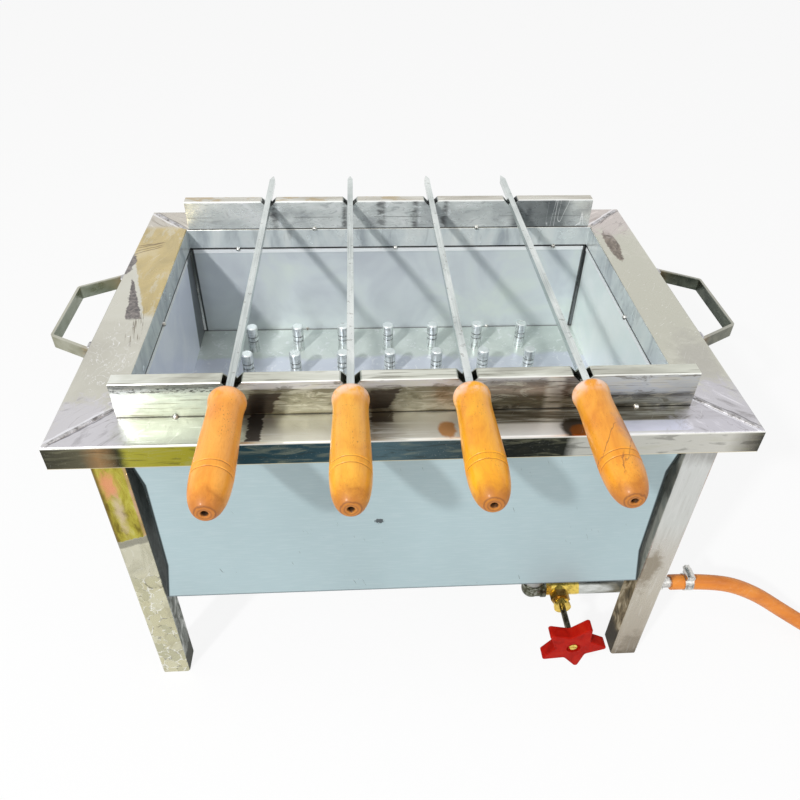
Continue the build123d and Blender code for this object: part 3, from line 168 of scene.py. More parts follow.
class Finish:
    """One material on Object coordinates, in metres. Its tone is the colour laid on so far."""

    def __init__(self, name, metal=0.0, roughness=0.5):
        self.material = bpy.data.materials.new(name)
        self.material.use_nodes = True
        self.tree = self.material.node_tree
        self.shader = self.tree.nodes["Principled BSDF"]
        self.preset("Metallic", metal)
        self.preset("Roughness", roughness)
        self.place = self.add("ShaderNodeTexCoord").outputs["Object"]
        axes = self.add("ShaderNodeSeparateXYZ", {0: self.place})
        self.x, self.y, self.z = axes.outputs
        self.tone = None

    def add(self, kind, inputs=None, **options):
        node = self.tree.nodes.new(kind)
        for option, value in options.items():
            setattr(node, option, value)
        for socket, value in (inputs or {}).items():
            if isinstance(value, bpy.types.NodeSocket):
                self.tree.links.new(value, node.inputs[socket])
            else:
                node.inputs[socket].default_value = value
        return node

    def preset(self, socket, value):
        self.shader.inputs[socket].default_value = value

    def math(self, operation, first, second=0.0):
        return self.add("ShaderNodeMath", {0: first, 1: second}, operation=operation).outputs[0]

    def plus(self, first, second):
        return self.math("ADD", first, second)

    def minus(self, first, second):
        return self.math("SUBTRACT", first, second)

    def times(self, first, second):
        return self.math("MULTIPLY", first, second)

    def ratio(self, first, second):
        return self.math("DIVIDE", first, second)

    def most(self, first, second):
        return self.math("MAXIMUM", first, second)

    def away(self, value):
        """How far a value is from nought."""
        return self.math("ABSOLUTE", value)

    def sway(self, cloud, reach):
        """A cloudy value's swing to both sides of nought."""
        return self.times(self.minus(cloud, 0.5), reach)

    def vector(self, operation, first, second):
        return self.add("ShaderNodeVectorMath", {0: first, 1: second}, operation=operation).outputs[0]

    def length(self, vector):
        return self.add("ShaderNodeVectorMath", {0: vector}, operation="LENGTH").outputs["Value"]

    def rise(self, value, low, high):
        """0 at low, 1 at high, eased between them."""
        limits = {"Value": value, "From Min": low, "From Max": high}
        return self.add("ShaderNodeMapRange", limits, interpolation_type="SMOOTHSTEP").outputs[0]

    def between(self, value, low, high, soft):
        """1 from low to high, fading out over a soft edge."""
        begun = self.rise(value, low - soft, low + soft)
        return self.times(begun, self.rise(value, high + soft, high - soft))

    def noise(self, size, stretch=(1, 1, 1), turn=(0, 0, 0), detail=4.0, rough=0.55, warp=0.0, shift=0.0):
        """A cloudy value round 0.5 whose features are about the size given."""
        scale = [1 / (size * s) for s in stretch]
        place = self.add("ShaderNodeMapping", {"Vector": self.place, "Rotation": turn}).outputs[0]
        laid = {"Vector": place, "Scale": scale, "Location": grey(shift)}
        place = self.add("ShaderNodeMapping", laid).outputs[0]
        inputs = {"Vector": place, "Scale": 1.0, "Detail": detail, "Roughness": rough, "Distortion": warp}
        return self.add("ShaderNodeTexNoise", inputs).outputs["Fac"]

    def veins(self, size, width, **options):
        """Thin winding lines, like the wrinkles of a film."""
        return self.rise(self.away(self.minus(self.noise(size, **options), 0.5)), width, 0.0)

    def crumple(self, size, stretch=(1, 1, 1)):
        """The facets of a creased film: each facet's own value, and its distance from the creases."""
        bend = self.noise(size * 0.8, detail=3.0, warp=0.5)
        place = self.vector("MULTIPLY", self.place, grey(1 / size))
        place = self.vector("DIVIDE", place, stretch)
        place = self.vector("ADD", place, bend)
        cells = {"Vector": place, "Scale": 1.0}
        facets = self.add("ShaderNodeTexVoronoi", cells)
        creases = self.add("ShaderNodeTexVoronoi", cells, feature="DISTANCE_TO_EDGE")
        value = self.add("ShaderNodeSeparateColor", {0: facets.outputs["Color"]}).outputs[0]
        return value, creases.outputs["Distance"]

    def scratches(self, length, width, turn, limit=0.66, shift=0.0):
        """Short fine strokes along one direction."""
        value = self.noise(width, (1, length / width, 1), turn, 2.0, 0.5, 0.0, shift)
        return self.rise(value, limit, limit + 0.05)

    def spot(self, centre, half, ragged=None, soft=0.35):
        """1 inside an ellipsoid, with an edge that a cloudy value makes ragged."""
        place = self.vector("SUBTRACT", self.place, centre)
        place = self.vector("DIVIDE", place, half)
        away = self.length(place)
        if ragged is not None:
            away = self.plus(away, self.sway(ragged, 2.4))
        return self.rise(away, 1 + soft, 1 - soft)

    def ramp(self, value, stops):
        """Colours laid out along a value, given by their places."""
        node = self.add("ShaderNodeValToRGB", {0: value})
        line = node.color_ramp.elements
        places = list(stops)
        for end in (0, -1):
            line[end].position = places[end]
            line[end].color = (*stops[places[end]], 1)
        for place in places[1:-1]:
            line.new(place).color = (*stops[place], 1)
        return node.outputs[0]

    def coat(self, where, colour, strength=None):
        """Lays a colour over the tone."""
        self.tone = self.mix(where, self.tone, colour, strength)

    def mix(self, where, under, over, strength=None):
        """One colour over another, in places and at a strength."""
        sockets = {0: where if strength is None else self.times(where, strength), 6: under, 7: over}
        for socket in (6, 7):
            if not isinstance(sockets[socket], bpy.types.NodeSocket):
                sockets[socket] = (*sockets[socket], 1)
        return self.add("ShaderNodeMix", sockets, data_type="RGBA", blend_type="MIX").outputs[2]

    def paint(self, roughness, bumps, metal=None):
        """Links the tone, a varying roughness and bumps of (height, distance) to the shader."""
        self.tree.links.new(self.tone, self.shader.inputs["Base Color"])
        self.tree.links.new(roughness, self.shader.inputs["Roughness"])
        if metal is not None:
            self.tree.links.new(metal, self.shader.inputs["Metallic"])
        inputs = {"Strength": 1.0}
        for height, distance in bumps:
            inputs |= {"Height": height, "Distance": distance}
            inputs["Normal"] = self.add("ShaderNodeBump", inputs).outputs[0]
        self.tree.links.new(inputs["Normal"], self.shader.inputs["Normal"])
        return self.material

    def scaled(self, value, low, high):
        """The value's 0 to 1 laid out from low to high."""
        return self.plus(self.times(value, high - low), low)


def dress(material, *names):
    """Gives a material to CAD nodes."""
    for name in names:
        mesh = nodes[name].data
        mesh.materials.clear()
        mesh.materials.append(material)


def keep(shape, name, material, body):
    """Turns a bmesh into a piece that rides on a body."""
    bmesh.ops.remove_doubles(shape, verts=shape.verts, dist=1e-6)
    bmesh.ops.recalc_face_normals(shape, faces=shape.faces)
    mesh = bpy.data.meshes.new(name)
    shape.to_mesh(mesh)
    shape.free()
    for face in mesh.polygons:
        face.use_smooth = True
    piece = bpy.data.objects.new(name, mesh)
    bpy.context.collection.objects.link(piece)
    mesh.materials.append(material)
    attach(piece, body)
    return piece


# Camera and hose

class GRILL_OT_camera(bpy.types.Operator):
    """Stands the camera in front of the grill, looking down on it"""
    bl_idname = "grill.camera"
    bl_label = "Camera"

    def execute(self, context):
        settings = context.scene.grill.stage
        data = bpy.data.cameras.new("camera")
        data.lens = settings.lens
        data.clip_start = 0.01
        camera = bpy.data.objects.new("camera", data)
        context.collection.objects.link(camera)
        turn, tilt, roll = settings.aim
        aim = Matrix.Rotation(turn, 4, "Z") @ Matrix.Rotation(pi / 2 + tilt, 4, "X")
        roll = Matrix.Rotation(roll, 4, "Z")
        camera.matrix_world = Matrix.Translation(settings.place) @ aim @ roll
        context.scene.camera = camera
        return {"FINISHED"}


def hose_rubber(settings):
    """Orange rubber with faint flow marks, dust and scuffs."""
    f = Finish("orange_rubber_hose", roughness=0.42)
    flow = f.noise(0.012, (4, 1, 1), detail=3.0, warp=0.4)
    dark = tinted(settings.rubber, (0.82, 0.74, 0.66))
    light = tinted(settings.rubber, (1.1, 1.22, 1.5))
    f.tone = f.ramp(flow, {0.3: dark, 0.52: settings.rubber, 0.72: light})
    dust = f.times(f.rise(f.noise(0.004, detail=6.0, rough=0.7), 0.56, 0.72), 0.25)
    f.coat(dust, (0.86, 0.62, 0.4))
    f.coat(f.scratches(0.02, 0.0012, (0, 0, 1.4)), dark, 0.3)
    rough = f.scaled(f.noise(0.006, detail=5.0), 0.3, 0.58)
    return f.paint(rough, [(f.noise(0.0018), 0.00006), (flow, 0.0002)])


class GRILL_OT_hose(bpy.types.Operator):
    """Lays the gas hose from its barb to the ground and winds the rest in a coil"""
    bl_idname = "grill.hose"
    bl_label = "Gas hose"

    def execute(self, context):
        settings = context.scene.grill.hose
        line = [
            Vector((0.278, -0.134, 0.0765)), Vector((0.326, -0.134, 0.0765)),
            Vector((0.372, -0.135, 0.057)), Vector((0.4145, -0.144, 0.0286)),
            Vector((0.458, -0.162, 0.008)), Vector((0.502, -0.18, 0.008)), Vector((0.543, -0.205, 0.008)),
        ]
        ground = line[-1].z
        heading = (line[-1] - line[-2]).normalized()
        start = line[-1] + settings.diameter * heading
        draw_in = settings.turn_step / (2 * pi)
        entry = atan2(heading.y, heading.x) - pi / 2 - atan(draw_in / settings.coil_radius)
        centre = start - settings.coil_radius * Vector((cos(entry), sin(entry), 0))
        points_per_turn = 24
        count = round(settings.coil_turns * points_per_turn)
        for step in range(count + 1):
            turn = step / points_per_turn
            climbed = max(0.0, (turn - settings.coil_turns + 0.5) / 0.5)
            angle = entry + 2 * pi * turn
            radius = settings.coil_radius - settings.turn_step * turn
            height = ground + settings.climb * (1 - cos(pi * climbed)) / 2
            line.append(Vector((centre.x + radius * cos(angle), centre.y + radius * sin(angle), height)))
        along = Vector((-radius * sin(angle), radius * cos(angle), 0))
        along -= draw_in * Vector((cos(angle), sin(angle), 0))
        line.append(line[-1] + settings.tail * along.normalized())
        curve = bpy.data.curves.new("gas_hose_line", "CURVE")
        curve.dimensions = "3D"
        curve.bevel_depth = settings.diameter / 2
        curve.bevel_resolution = 5
        curve.resolution_u = 8
        curve.use_fill_caps = True
        spline = curve.splines.new("NURBS")
        spline.points.add(len(line) - 1)
        for point, place in zip(spline.points, line):
            point.co = (*place, 1)
        spline.order_u = 3
        spline.use_endpoint_u = True
        hose = bpy.data.objects.new("gas_hose_line", curve)
        context.collection.objects.link(hose)
        curve.materials.append(hose_rubber(settings))
        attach(hose, "root")
        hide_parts("gas_hose", "gas_hose_coil")
        return {"FINISHED"}


# Turned grips

# Each grip's wood tint, and the strength of its pale rim, which is partly rubbed and partly a painted
# sheen.
grip_woods = {
    1: ((1.1, 1.02, 1.2), 0.3),
    2: ((1.04, 1.08, 0.9), 0.85),
    3: ((1.08, 1.08, 0.3), 0.85),
    4: ((1.0, 0.92, 0.7), 0.9),
}


def turned_wood(name, x, front_y, z, number, settings):
    """Varnished wood with fine specks, burnt grooves, a rubbed rim with a painted sheen, and a darker
    drilled end whose hole is painted near-black as painted shade.
    """
    f = Finish(name, roughness=0.3)
    shift = 3.7 * number
    tint, wear_and_sheen = grip_woods[number]
    wood = tinted(settings.wood, tint)
    deep = tinted(wood, (0.84, 0.7, 0.5))
    light = tinted(wood, (1.06, 1.18, 1.6))
    broad = f.noise(0.02, (1, 2.4, 1), rough=0.6, warp=0.7, shift=shift)
    grain = f.noise(0.0013, (1, 9, 1), (0.03, 0, 0.02 * number), 5.0, 0.65, 0.5, shift)
    f.tone = f.ramp(broad, {0.32: deep, 0.5: wood, 0.7: light})
    f.coat(f.rise(grain, 0.5, 0.66), deep, 0.35)
    f.coat(f.rise(grain, 0.48, 0.34), light, 0.25)
    speck = f.rise(f.noise(0.0008, (1, 2.5, 1), detail=3.0, rough=0.6, shift=shift), 0.6, 0.68)
    spread = f.rise(f.noise(0.025, detail=2.0, shift=shift + 2), 0.4, 0.62)
    f.coat(f.times(speck, spread), settings.scorch, 0.6)
    along = f.minus(front_y, f.y)
    # The pale rim: partly rubbed, partly a painted sheen.
    worn_and_sheen = f.times(f.rise(along, 0.019, 0.003), f.rise(f.noise(0.008, shift=shift), 0.36, 0.6))
    f.coat(worn_and_sheen, settings.pale_wood, wear_and_sheen)
    if number == 4:
        bruise = f.spot((x + 0.01, front_y - 0.056, z + 0.01), (0.008, 0.012, 0.012), f.noise(0.008), 0.6)
        f.coat(bruise, (0.4, 0.16, 0.11), 0.6)
        for start, slope, middle, reach in (
            (-0.0075, -0.62, 0.07, 0.016), (0.0035, -0.5, 0.08, 0.012), (-0.0035, -0.3, 0.092, 0.008),
        ):
            line = f.plus(x + start, f.times(f.minus(along, middle), slope))
            line = f.plus(line, f.sway(broad, 0.012))
            crack = f.rise(f.away(f.minus(f.x, line)), 0.0006, 0.0001)
            crack = f.times(crack, f.between(along, middle - reach, middle + reach, 0.004))
            f.coat(crack, (0.26, 0.08, 0.02), 0.7)
    wobble = f.sway(f.noise(0.009, detail=3.0, shift=shift), 0.0016)
    marked = f.plus(along, wobble)
    for groove in (0.08, 0.086):
        band = f.between(marked, groove - 0.0003, groove + 0.0003, 0.0004)
        f.coat(band, settings.scorch, 0.75)
    ragged = f.noise(0.008, detail=5.0, rough=0.6, warp=0.5, shift=shift)
    burnt = f.rise(f.plus(along, f.sway(ragged, 0.02)), 0.096, 0.116)
    f.coat(burnt, (0.38, 0.115, 0.008), 0.85)
    out = f.vector("SUBTRACT", f.place, (x, front_y, z))
    out = f.length(f.vector("MULTIPLY", out, (1, 0, 1)))
    out = f.plus(out, f.sway(ragged, 0.0035))
    end = f.rise(along, 0.106, 0.109)
    for middle, half, strength in ((0.0068, 0.0004, 0.75), (0.0043, 0.0005, 0.5)):
        ring = f.times(f.between(out, middle - half, middle + half, 0.0005), end)
        f.coat(ring, (0.16, 0.05, 0.008), strength)
    # Painted shade: the drilled hole painted near-black.
    hole = f.times(f.rise(out, 0.0028, 0.0018), end)
    f.coat(hole, (0.02, 0.008, 0.003), 0.97)
    grooved = f.between(along, 0.0785, 0.0875, 0.001)
    rough = f.scaled(f.most(f.most(hole, burnt), f.most(worn_and_sheen, grooved)), 0.3, 0.6)
    material = f.paint(rough, [(grain, 0.0001), (broad, 0.0004), (hole, -0.0006)])
    f.preset("Coat Weight", 0.12)
    f.preset("Coat Roughness", 0.22)
    return material


class GRILL_OT_grips(bpy.types.Operator):
    """Turns the four wooden grips, with their grooves and burnt ends"""
    bl_idname = "grill.grips"
    bl_label = "Grips"

    def execute(self, context):
        settings = context.scene.grill.grips
        for number in skewer_numbers:
            node = f"skewer_handle_{number}"
            low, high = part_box(node)
            centre = (low + high) / 2
            wood = turned_wood(f"turned_wood_{number}", centre.x, high.y, centre.z, number, settings)
            shape = bmesh.new()
            self.turn(shape, Vector((centre.x, high.y, centre.z)), settings)
            grip = keep(shape, f"grip_{number}", wood, f"skewer_{number}")
            smooth = grip.modifiers.new("smooth", "SUBSURF")
            smooth.levels = 2
            smooth.render_levels = 2
            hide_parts(node)
        return {"FINISHED"}

    def turn(self, shape, front, settings):
        """Spins the grip's profile, given in millimetres along and out from its axis."""
        deep = settings.groove_depth * 1000
        profile = [
            (5.0, 2.75), (0.35, 2.7), (0.0, 3.1), (0.0, 8.6), (0.3, 10.2), (1.2, 12.2), (2.6, 13.7),
            (4.4, 14.4), (6.6, 14.45), (9.5, 14.0), (13.5, 13.45), (18.5, 13.3), (25.0, 13.35),
            (34.0, 13.65), (46.0, 14.0), (60.0, 14.4), (72.0, 14.65), (78.8, 14.7), (79.4, 14.7),
            (79.7, 14.7 - deep), (80.3, 14.7 - deep), (80.6, 14.7), (81.2, 14.7), (84.8, 14.65),
            (85.4, 14.65), (85.7, 14.65 - deep), (86.3, 14.6 - deep), (86.6, 14.6), (87.2, 14.6),
            (93.0, 14.25), (98.5, 13.6), (103.5, 12.65), (108.0, 11.2), (111.5, 9.5), (113.9, 7.6),
            (114.85, 6.2), (114.95, 4.6), (114.8, 3.2), (114.3, 2.3), (113.2, 1.9), (110.5, 1.75),
            (107.3, 1.7), (107.15, 2.6), (106.9, 2.8), (104.5, 2.8),
        ]
        ring = [shape.verts.new(front + Vector((0, -along / 1000, out / 1000))) for along, out in profile]
        edges = [shape.edges.new(pair) for pair in zip(ring, ring[1:])]
        bmesh.ops.spin(
            shape,
            geom=ring + edges,
            cent=front,
            axis=(0, 1, 0),
            angle=2 * pi,
            steps=settings.steps,
            use_merge=True,
        )
        open_ends = [edge for edge in shape.edges if edge.is_boundary]
        bmesh.ops.bridge_loops(shape, edges=open_ends)


# Weld beads

def bead_metal(settings):
    """Ground weld metal with straw and blue heat colours."""
    f = Finish("weld_bead_metal", 0.7, 0.45)
    heat = f.noise(0.006, detail=3.0, warp=0.4)
    f.tone = f.ramp(heat, {
        0.3: (0.17, 0.16, 0.16), 0.46: settings.metal, 0.6: (0.62, 0.61, 0.63), 0.76: (0.3, 0.29, 0.33),
    })
    rough = f.scaled(f.noise(0.0015), 0.42, 0.62)
    return f.paint(rough, [(f.noise(0.0008), 0.0001)])


class GRILL_OT_welds(bpy.types.Operator):
    """Runs the weld beads along the frame's mitres and at the side handles"""
    bl_idname = "grill.welds"
    bl_label = "Weld beads"

    def execute(self, context):
        settings = context.scene.grill.welds
        metal = bead_metal(settings)
        left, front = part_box("top_frame_front")[0].xy
        right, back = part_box("top_frame_back")[1].xy
        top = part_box("top_frame_front")[1].z
        inner_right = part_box("top_frame_right")[0].x
        width = right - inner_right
        corners = {
            "front_left": (left, front, 1, 1), "front_right": (right, front, -1, 1),
            "back_left": (left, back, 1, -1), "back_right": (right, back, -1, -1),
        }
        for place, (x, y, inward, forward) in corners.items():
            start = Vector((x + 0.0035 * inward, y + 0.0035 * forward, top))
            end = Vector((x + (width - 0.002) * inward, y + (width - 0.002) * forward, top))
            self.bead(f"mitre_weld_{place}", start, end, settings.height, metal, settings)
        for side, handle in (("left", "handle_left"), ("right", "handle_right")):
            low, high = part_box(handle)
            x = high.x if side == "left" else low.x
            for end_name, y in (("front", low.y), ("rear", high.y)):
                inward = 0.006 if end_name == "front" else -0.006
                start = Vector((x, y + inward - 0.005, high.z))
                end = Vector((x, y + inward + 0.005, high.z))
                self.bead(f"handle_weld_{side}_{end_name}", start, end, 0.0012, metal, settings)
        return {"FINISHED"}

    def bead(self, name, start, end, height, metal, settings):
        """A long flat drop with ripples across it, half sunk in the sheet."""
        length = (end - start).length
        rings = max(24, round(length / settings.ripple * 6))
        shape = bmesh.new()
        bmesh.ops.create_uvsphere(shape, u_segments=14, v_segments=rings, radius=0.5)
        for vert in shape.verts:
            along = (vert.co.z + 0.5) * length
            taper = max(0.0, 1 - abs(2 * vert.co.z) ** 7) ** 0.5
            girth = hypot(vert.co.x, vert.co.y)
            grow = taper / girth * 0.5 if girth > 1e-6 else 0.0
            curl = abs(vert.co.x * grow) * settings.ripple
            ripple = 0.07 * sin(2 * pi * (along + 2 * curl) / settings.ripple)
            wave = 1 + ripple + 0.05 * sin(131.0 * along + vert.co.x)
            vert.co.x *= grow * settings.width * wave
            vert.co.y *= grow * 2 * height * wave
            vert.co.z *= length
        turn = (end - start).to_track_quat("Z", "Y").to_matrix().to_4x4()
        bmesh.ops.transform(shape, matrix=Matrix.Translation((start + end) / 2) @ turn, verts=shape.verts)
        return keep(shape, name, metal, "root")


# Finishes of the frame and its rails

frame_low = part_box("top_frame_front")[0]
frame_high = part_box("top_frame_back")[1]
frame_top = frame_high.z
lip_foot = 0.298
corner_films = {
    "front_left": ((0.4, 0.385, 0.41), (0.63, 0.615, 0.65), -1.0),
    "front_right": ((0.34, 0.325, 0.35), (0.57, 0.555, 0.6), 1.0),
    "back_left": ((0.34, 0.3, 0.25), (0.58, 0.54, 0.48), 1.0),
    "back_right": ((0.36, 0.3, 0.29), (0.58, 0.52, 0.5), -1.0),
}


def strip_steel(side, axis, inner, marks, steel):
    """Polished stainless with fine marks, the strip's own stains and a cool grey lip over the pit, with a
    painted shadow gap at the lip's foot.
    """
    f = Finish(f"frame_steel_{side}", 1.0, 0.25)
    cloud = f.noise(0.09, detail=3.0, warp=0.5)
    f.tone = f.ramp(cloud, {0.33: steel.dull, 0.55: steel.bright, 0.75: (0.7, 0.7, 0.64)})
    ragged = f.noise(0.014, detail=6.0, rough=0.68, warp=0.8)
    marks(f, ragged)
    stroke = f.scratches(0.03, 0.0006, (0, 0, 0.5), 0.7)
    stroke = f.most(stroke, f.scratches(0.022, 0.0005, (0, 0, -0.9), 0.72, 5.0))
    f.coat(stroke, steel.film, 0.4)
    below = f.rise(f.z, frame_top - 0.0006, frame_top - 0.0014)
    inside = f.times(f.rise(getattr(f, axis), inner + copysign(0.0012, inner), inner), below)
    smudge = f.noise(0.022, (1, 1, 2.5), warp=0.5, shift=5.0)
    lip = f.ramp(smudge, {0.3: (0.42, 0.46, 0.48), 0.5: (0.66, 0.71, 0.71), 0.72: (0.8, 0.83, 0.8)})
    dark = f.rise(f.noise(0.016, (0.7, 0.7, 3.0), detail=3.0, warp=0.6, shift=9.0), 0.6, 0.67)
    lip = f.mix(dark, lip, (0.26, 0.28, 0.29), 0.3)
    # Painted shadow: the lip's foot painted near-black, as the gap below it.
    lip = f.mix(f.rise(f.z, lip_foot - 0.0006, lip_foot - 0.0014), lip, grey(0.015))
    f.coat(inside, lip)
    least, most = (0.33, 0.46) if side == "front" else (0.16, 0.34)
    rough = f.scaled(f.noise(0.03, detail=5.0), least, most)
    return f.paint(rough, [(ragged, 0.0002), (cloud, 0.0012)], f.scaled(inside, 1.0, 0.35))


def patch(f, x, y, half_x, half_y, ragged, soft=0.35):
    """1 in a patch of the frame's top."""
    return f.spot((x, y, frame_top), (half_x, half_y, 0.05), ragged, soft)


def corner_film(f, ragged, corner, x, y, size):
    """A corner with silvery streaks along the mitre, where film has lifted."""
    under, over, slope = corner_films[corner]
    turn = (0, 0, slope * pi / 4)
    area = patch(f, x, y, size, size, ragged)
    streak = f.noise(0.013, (4, 1, 1), turn, 6.0, 0.62, 1.4, 2.0)
    bright = shade(over, 1.36)
    tint = f.ramp(streak, {0.3: under, 0.42: over, 0.58: over, 0.68: bright})
    f.coat(area, tint, 0.85)
    crease = f.noise(0.016, (6, 1, 1), turn, 3.0, 0.5, 1.0, 6.0)
    dark = f.times(f.rise(f.away(f.minus(crease, 0.5)), 0.007, 0.0), area)
    f.coat(dark, (0.22, 0.2, 0.2), 0.45)
    along = f.minus(f.x, frame_high.x if x > 0 else frame_low.x)
    aside = f.times(f.minus(f.y, frame_high.y if y > 0 else frame_low.y), slope)
    mitre = f.plus(f.plus(along, aside), f.sway(streak, 0.01))
    f.coat(f.times(f.between(mitre, 0.003, 0.0048, 0.0006), area), (0.17, 0.16, 0.17), 0.75)
    f.coat(f.times(f.between(mitre, -0.006, -0.003, 0.001), area), (0.93, 0.93, 0.97), 0.6)


def stain(f, ragged, x, y, half_x, half_y, colour, strength, torn, soft=0.2):
    """A flat patch with a torn edge."""
    edge = f.plus(f.sway(ragged, torn), 0.5)
    f.coat(patch(f, x, y, half_x, half_y, edge, soft), colour, strength)


def left_marks(f, ragged):
    """A tan wedge, a dark fan with wrinkles over it, a curl and the corners' film."""
    cloud = f.noise(0.09, detail=3.0, warp=0.5)
    corner_film(f, ragged, "back_left", -0.255, 0.22, 0.048)
    shift = f.sway(ragged, 0.008)
    border = f.plus(f.plus(f.x, 0.2425), f.times(f.minus(f.y, 0.012), 0.29))
    wedge = f.times(f.rise(f.plus(border, shift), -0.001, 0.001), f.between(f.y, 0.012, 0.196, 0.006))
    tan = f.ramp(f.noise(0.022, (1, 2.5, 1), warp=0.6), {
        0.34: (0.5, 0.4, 0.19), 0.52: (0.6, 0.475, 0.22), 0.7: (0.66, 0.56, 0.34),
    })
    f.coat(wedge, tan, 0.92)
    film = f.times(f.rise(f.noise(0.012, (1, 3, 1), detail=5.0, rough=0.65, shift=3.0), 0.53, 0.6), wedge)
    f.coat(film, (0.66, 0.64, 0.55), 0.45)
    ink = f.ramp(f.noise(0.004, warp=1.0), {0.4: (0.09, 0.08, 0.085), 0.62: (0.26, 0.23, 0.22)})
    stain(f, ragged, -0.279, 0.112, 0.0068, 0.021, ink, 0.9, 0.6, 0.1)
    run = f.minus(0.08, f.y)
    wide = f.sway(ragged, 0.01)
    lean = f.away(f.plus(f.minus(f.plus(f.x, 0.2675), f.times(run, 0.235)), wide))
    fan = f.minus(f.plus(f.times(run, 0.085), 0.0012), lean)
    fan = f.times(f.rise(fan, 0.0, 0.0008), f.between(f.plus(f.y, wide), 0.006, 0.08, 0.002))
    f.coat(fan, ink, 0.92)
    for rest, slope, sag in (
        (0.1445, 0.42, 0.003), (0.1495, 0.3, 0.0045), (0.14, 0.55, 0.002), (0.153, 0.18, 0.003),
    ):
        level = f.plus(rest, f.times(f.plus(f.x, 0.265), slope))
        level = f.plus(level, f.sway(cloud, 10.0 * sag))
        stroke = f.rise(f.away(f.minus(f.y, level)), 0.0013, 0.0004)
        stroke = f.times(stroke, f.between(f.x, -0.2775, -0.252, 0.003))
        f.coat(stroke, (0.17, 0.115, 0.07), 0.72)
    tail = f.scratches(0.03, 0.0011, (0, 0, -0.2), 0.56, 3.0)
    f.coat(f.times(tail, patch(f, -0.244, -0.012, 0.006, 0.03, ragged)), (0.2, 0.17, 0.13), 0.7)
    curl = f.veins(0.02, 0.012, stretch=(0.8, 1.6, 1), detail=3.0, warp=1.8, shift=1.0)
    place = patch(f, -0.256, -0.045, 0.02, 0.05, ragged)
    f.coat(f.times(curl, place), grey(0.9), 0.75)
    corner_film(f, ragged, "front_left", -0.256, -0.15, 0.036)


def right_marks(f, ragged):
    """A plain middle with a dark stain, nicks, a shadow, the corners' film and painted shade on the round
    front corner.
    """
    f.coat(patch(f, 0.256, 0.03, 0.05, 0.17, ragged, 0.6), (0.545, 0.54, 0.46))
    ink = f.ramp(f.noise(0.005, (1, 2, 1), detail=5.0, rough=0.65, warp=1.0), {
        0.4: (0.1, 0.075, 0.06), 0.62: (0.27, 0.22, 0.18),
    })
    stain(f, ragged, 0.2465, 0.145, 0.0068, 0.036, ink, 0.92, 0.5, 0.12)
    corner_film(f, ragged, "back_right", 0.256, 0.212, 0.04)
    nick = f.scratches(0.01, 0.0008, (0, 0, 0.9), 0.66)
    f.coat(f.times(nick, patch(f, 0.257, 0.0, 0.022, 0.07, ragged)), (0.93, 0.93, 0.9), 0.7)
    f.coat(patch(f, 0.262, -0.085, 0.016, 0.045, ragged, 0.7), (0.4, 0.38, 0.36), 0.5)
    corner_film(f, ragged, "front_right", 0.254, -0.142, 0.04)
    # Painted shade: the round right front corner painted dark.
    rounded_corner_shade = f.times(f.rise(f.x, 0.278, 0.2792), f.rise(f.y, -0.09, -0.13))
    f.coat(rounded_corner_shade, (0.1, 0.1, 0.09), 0.8)


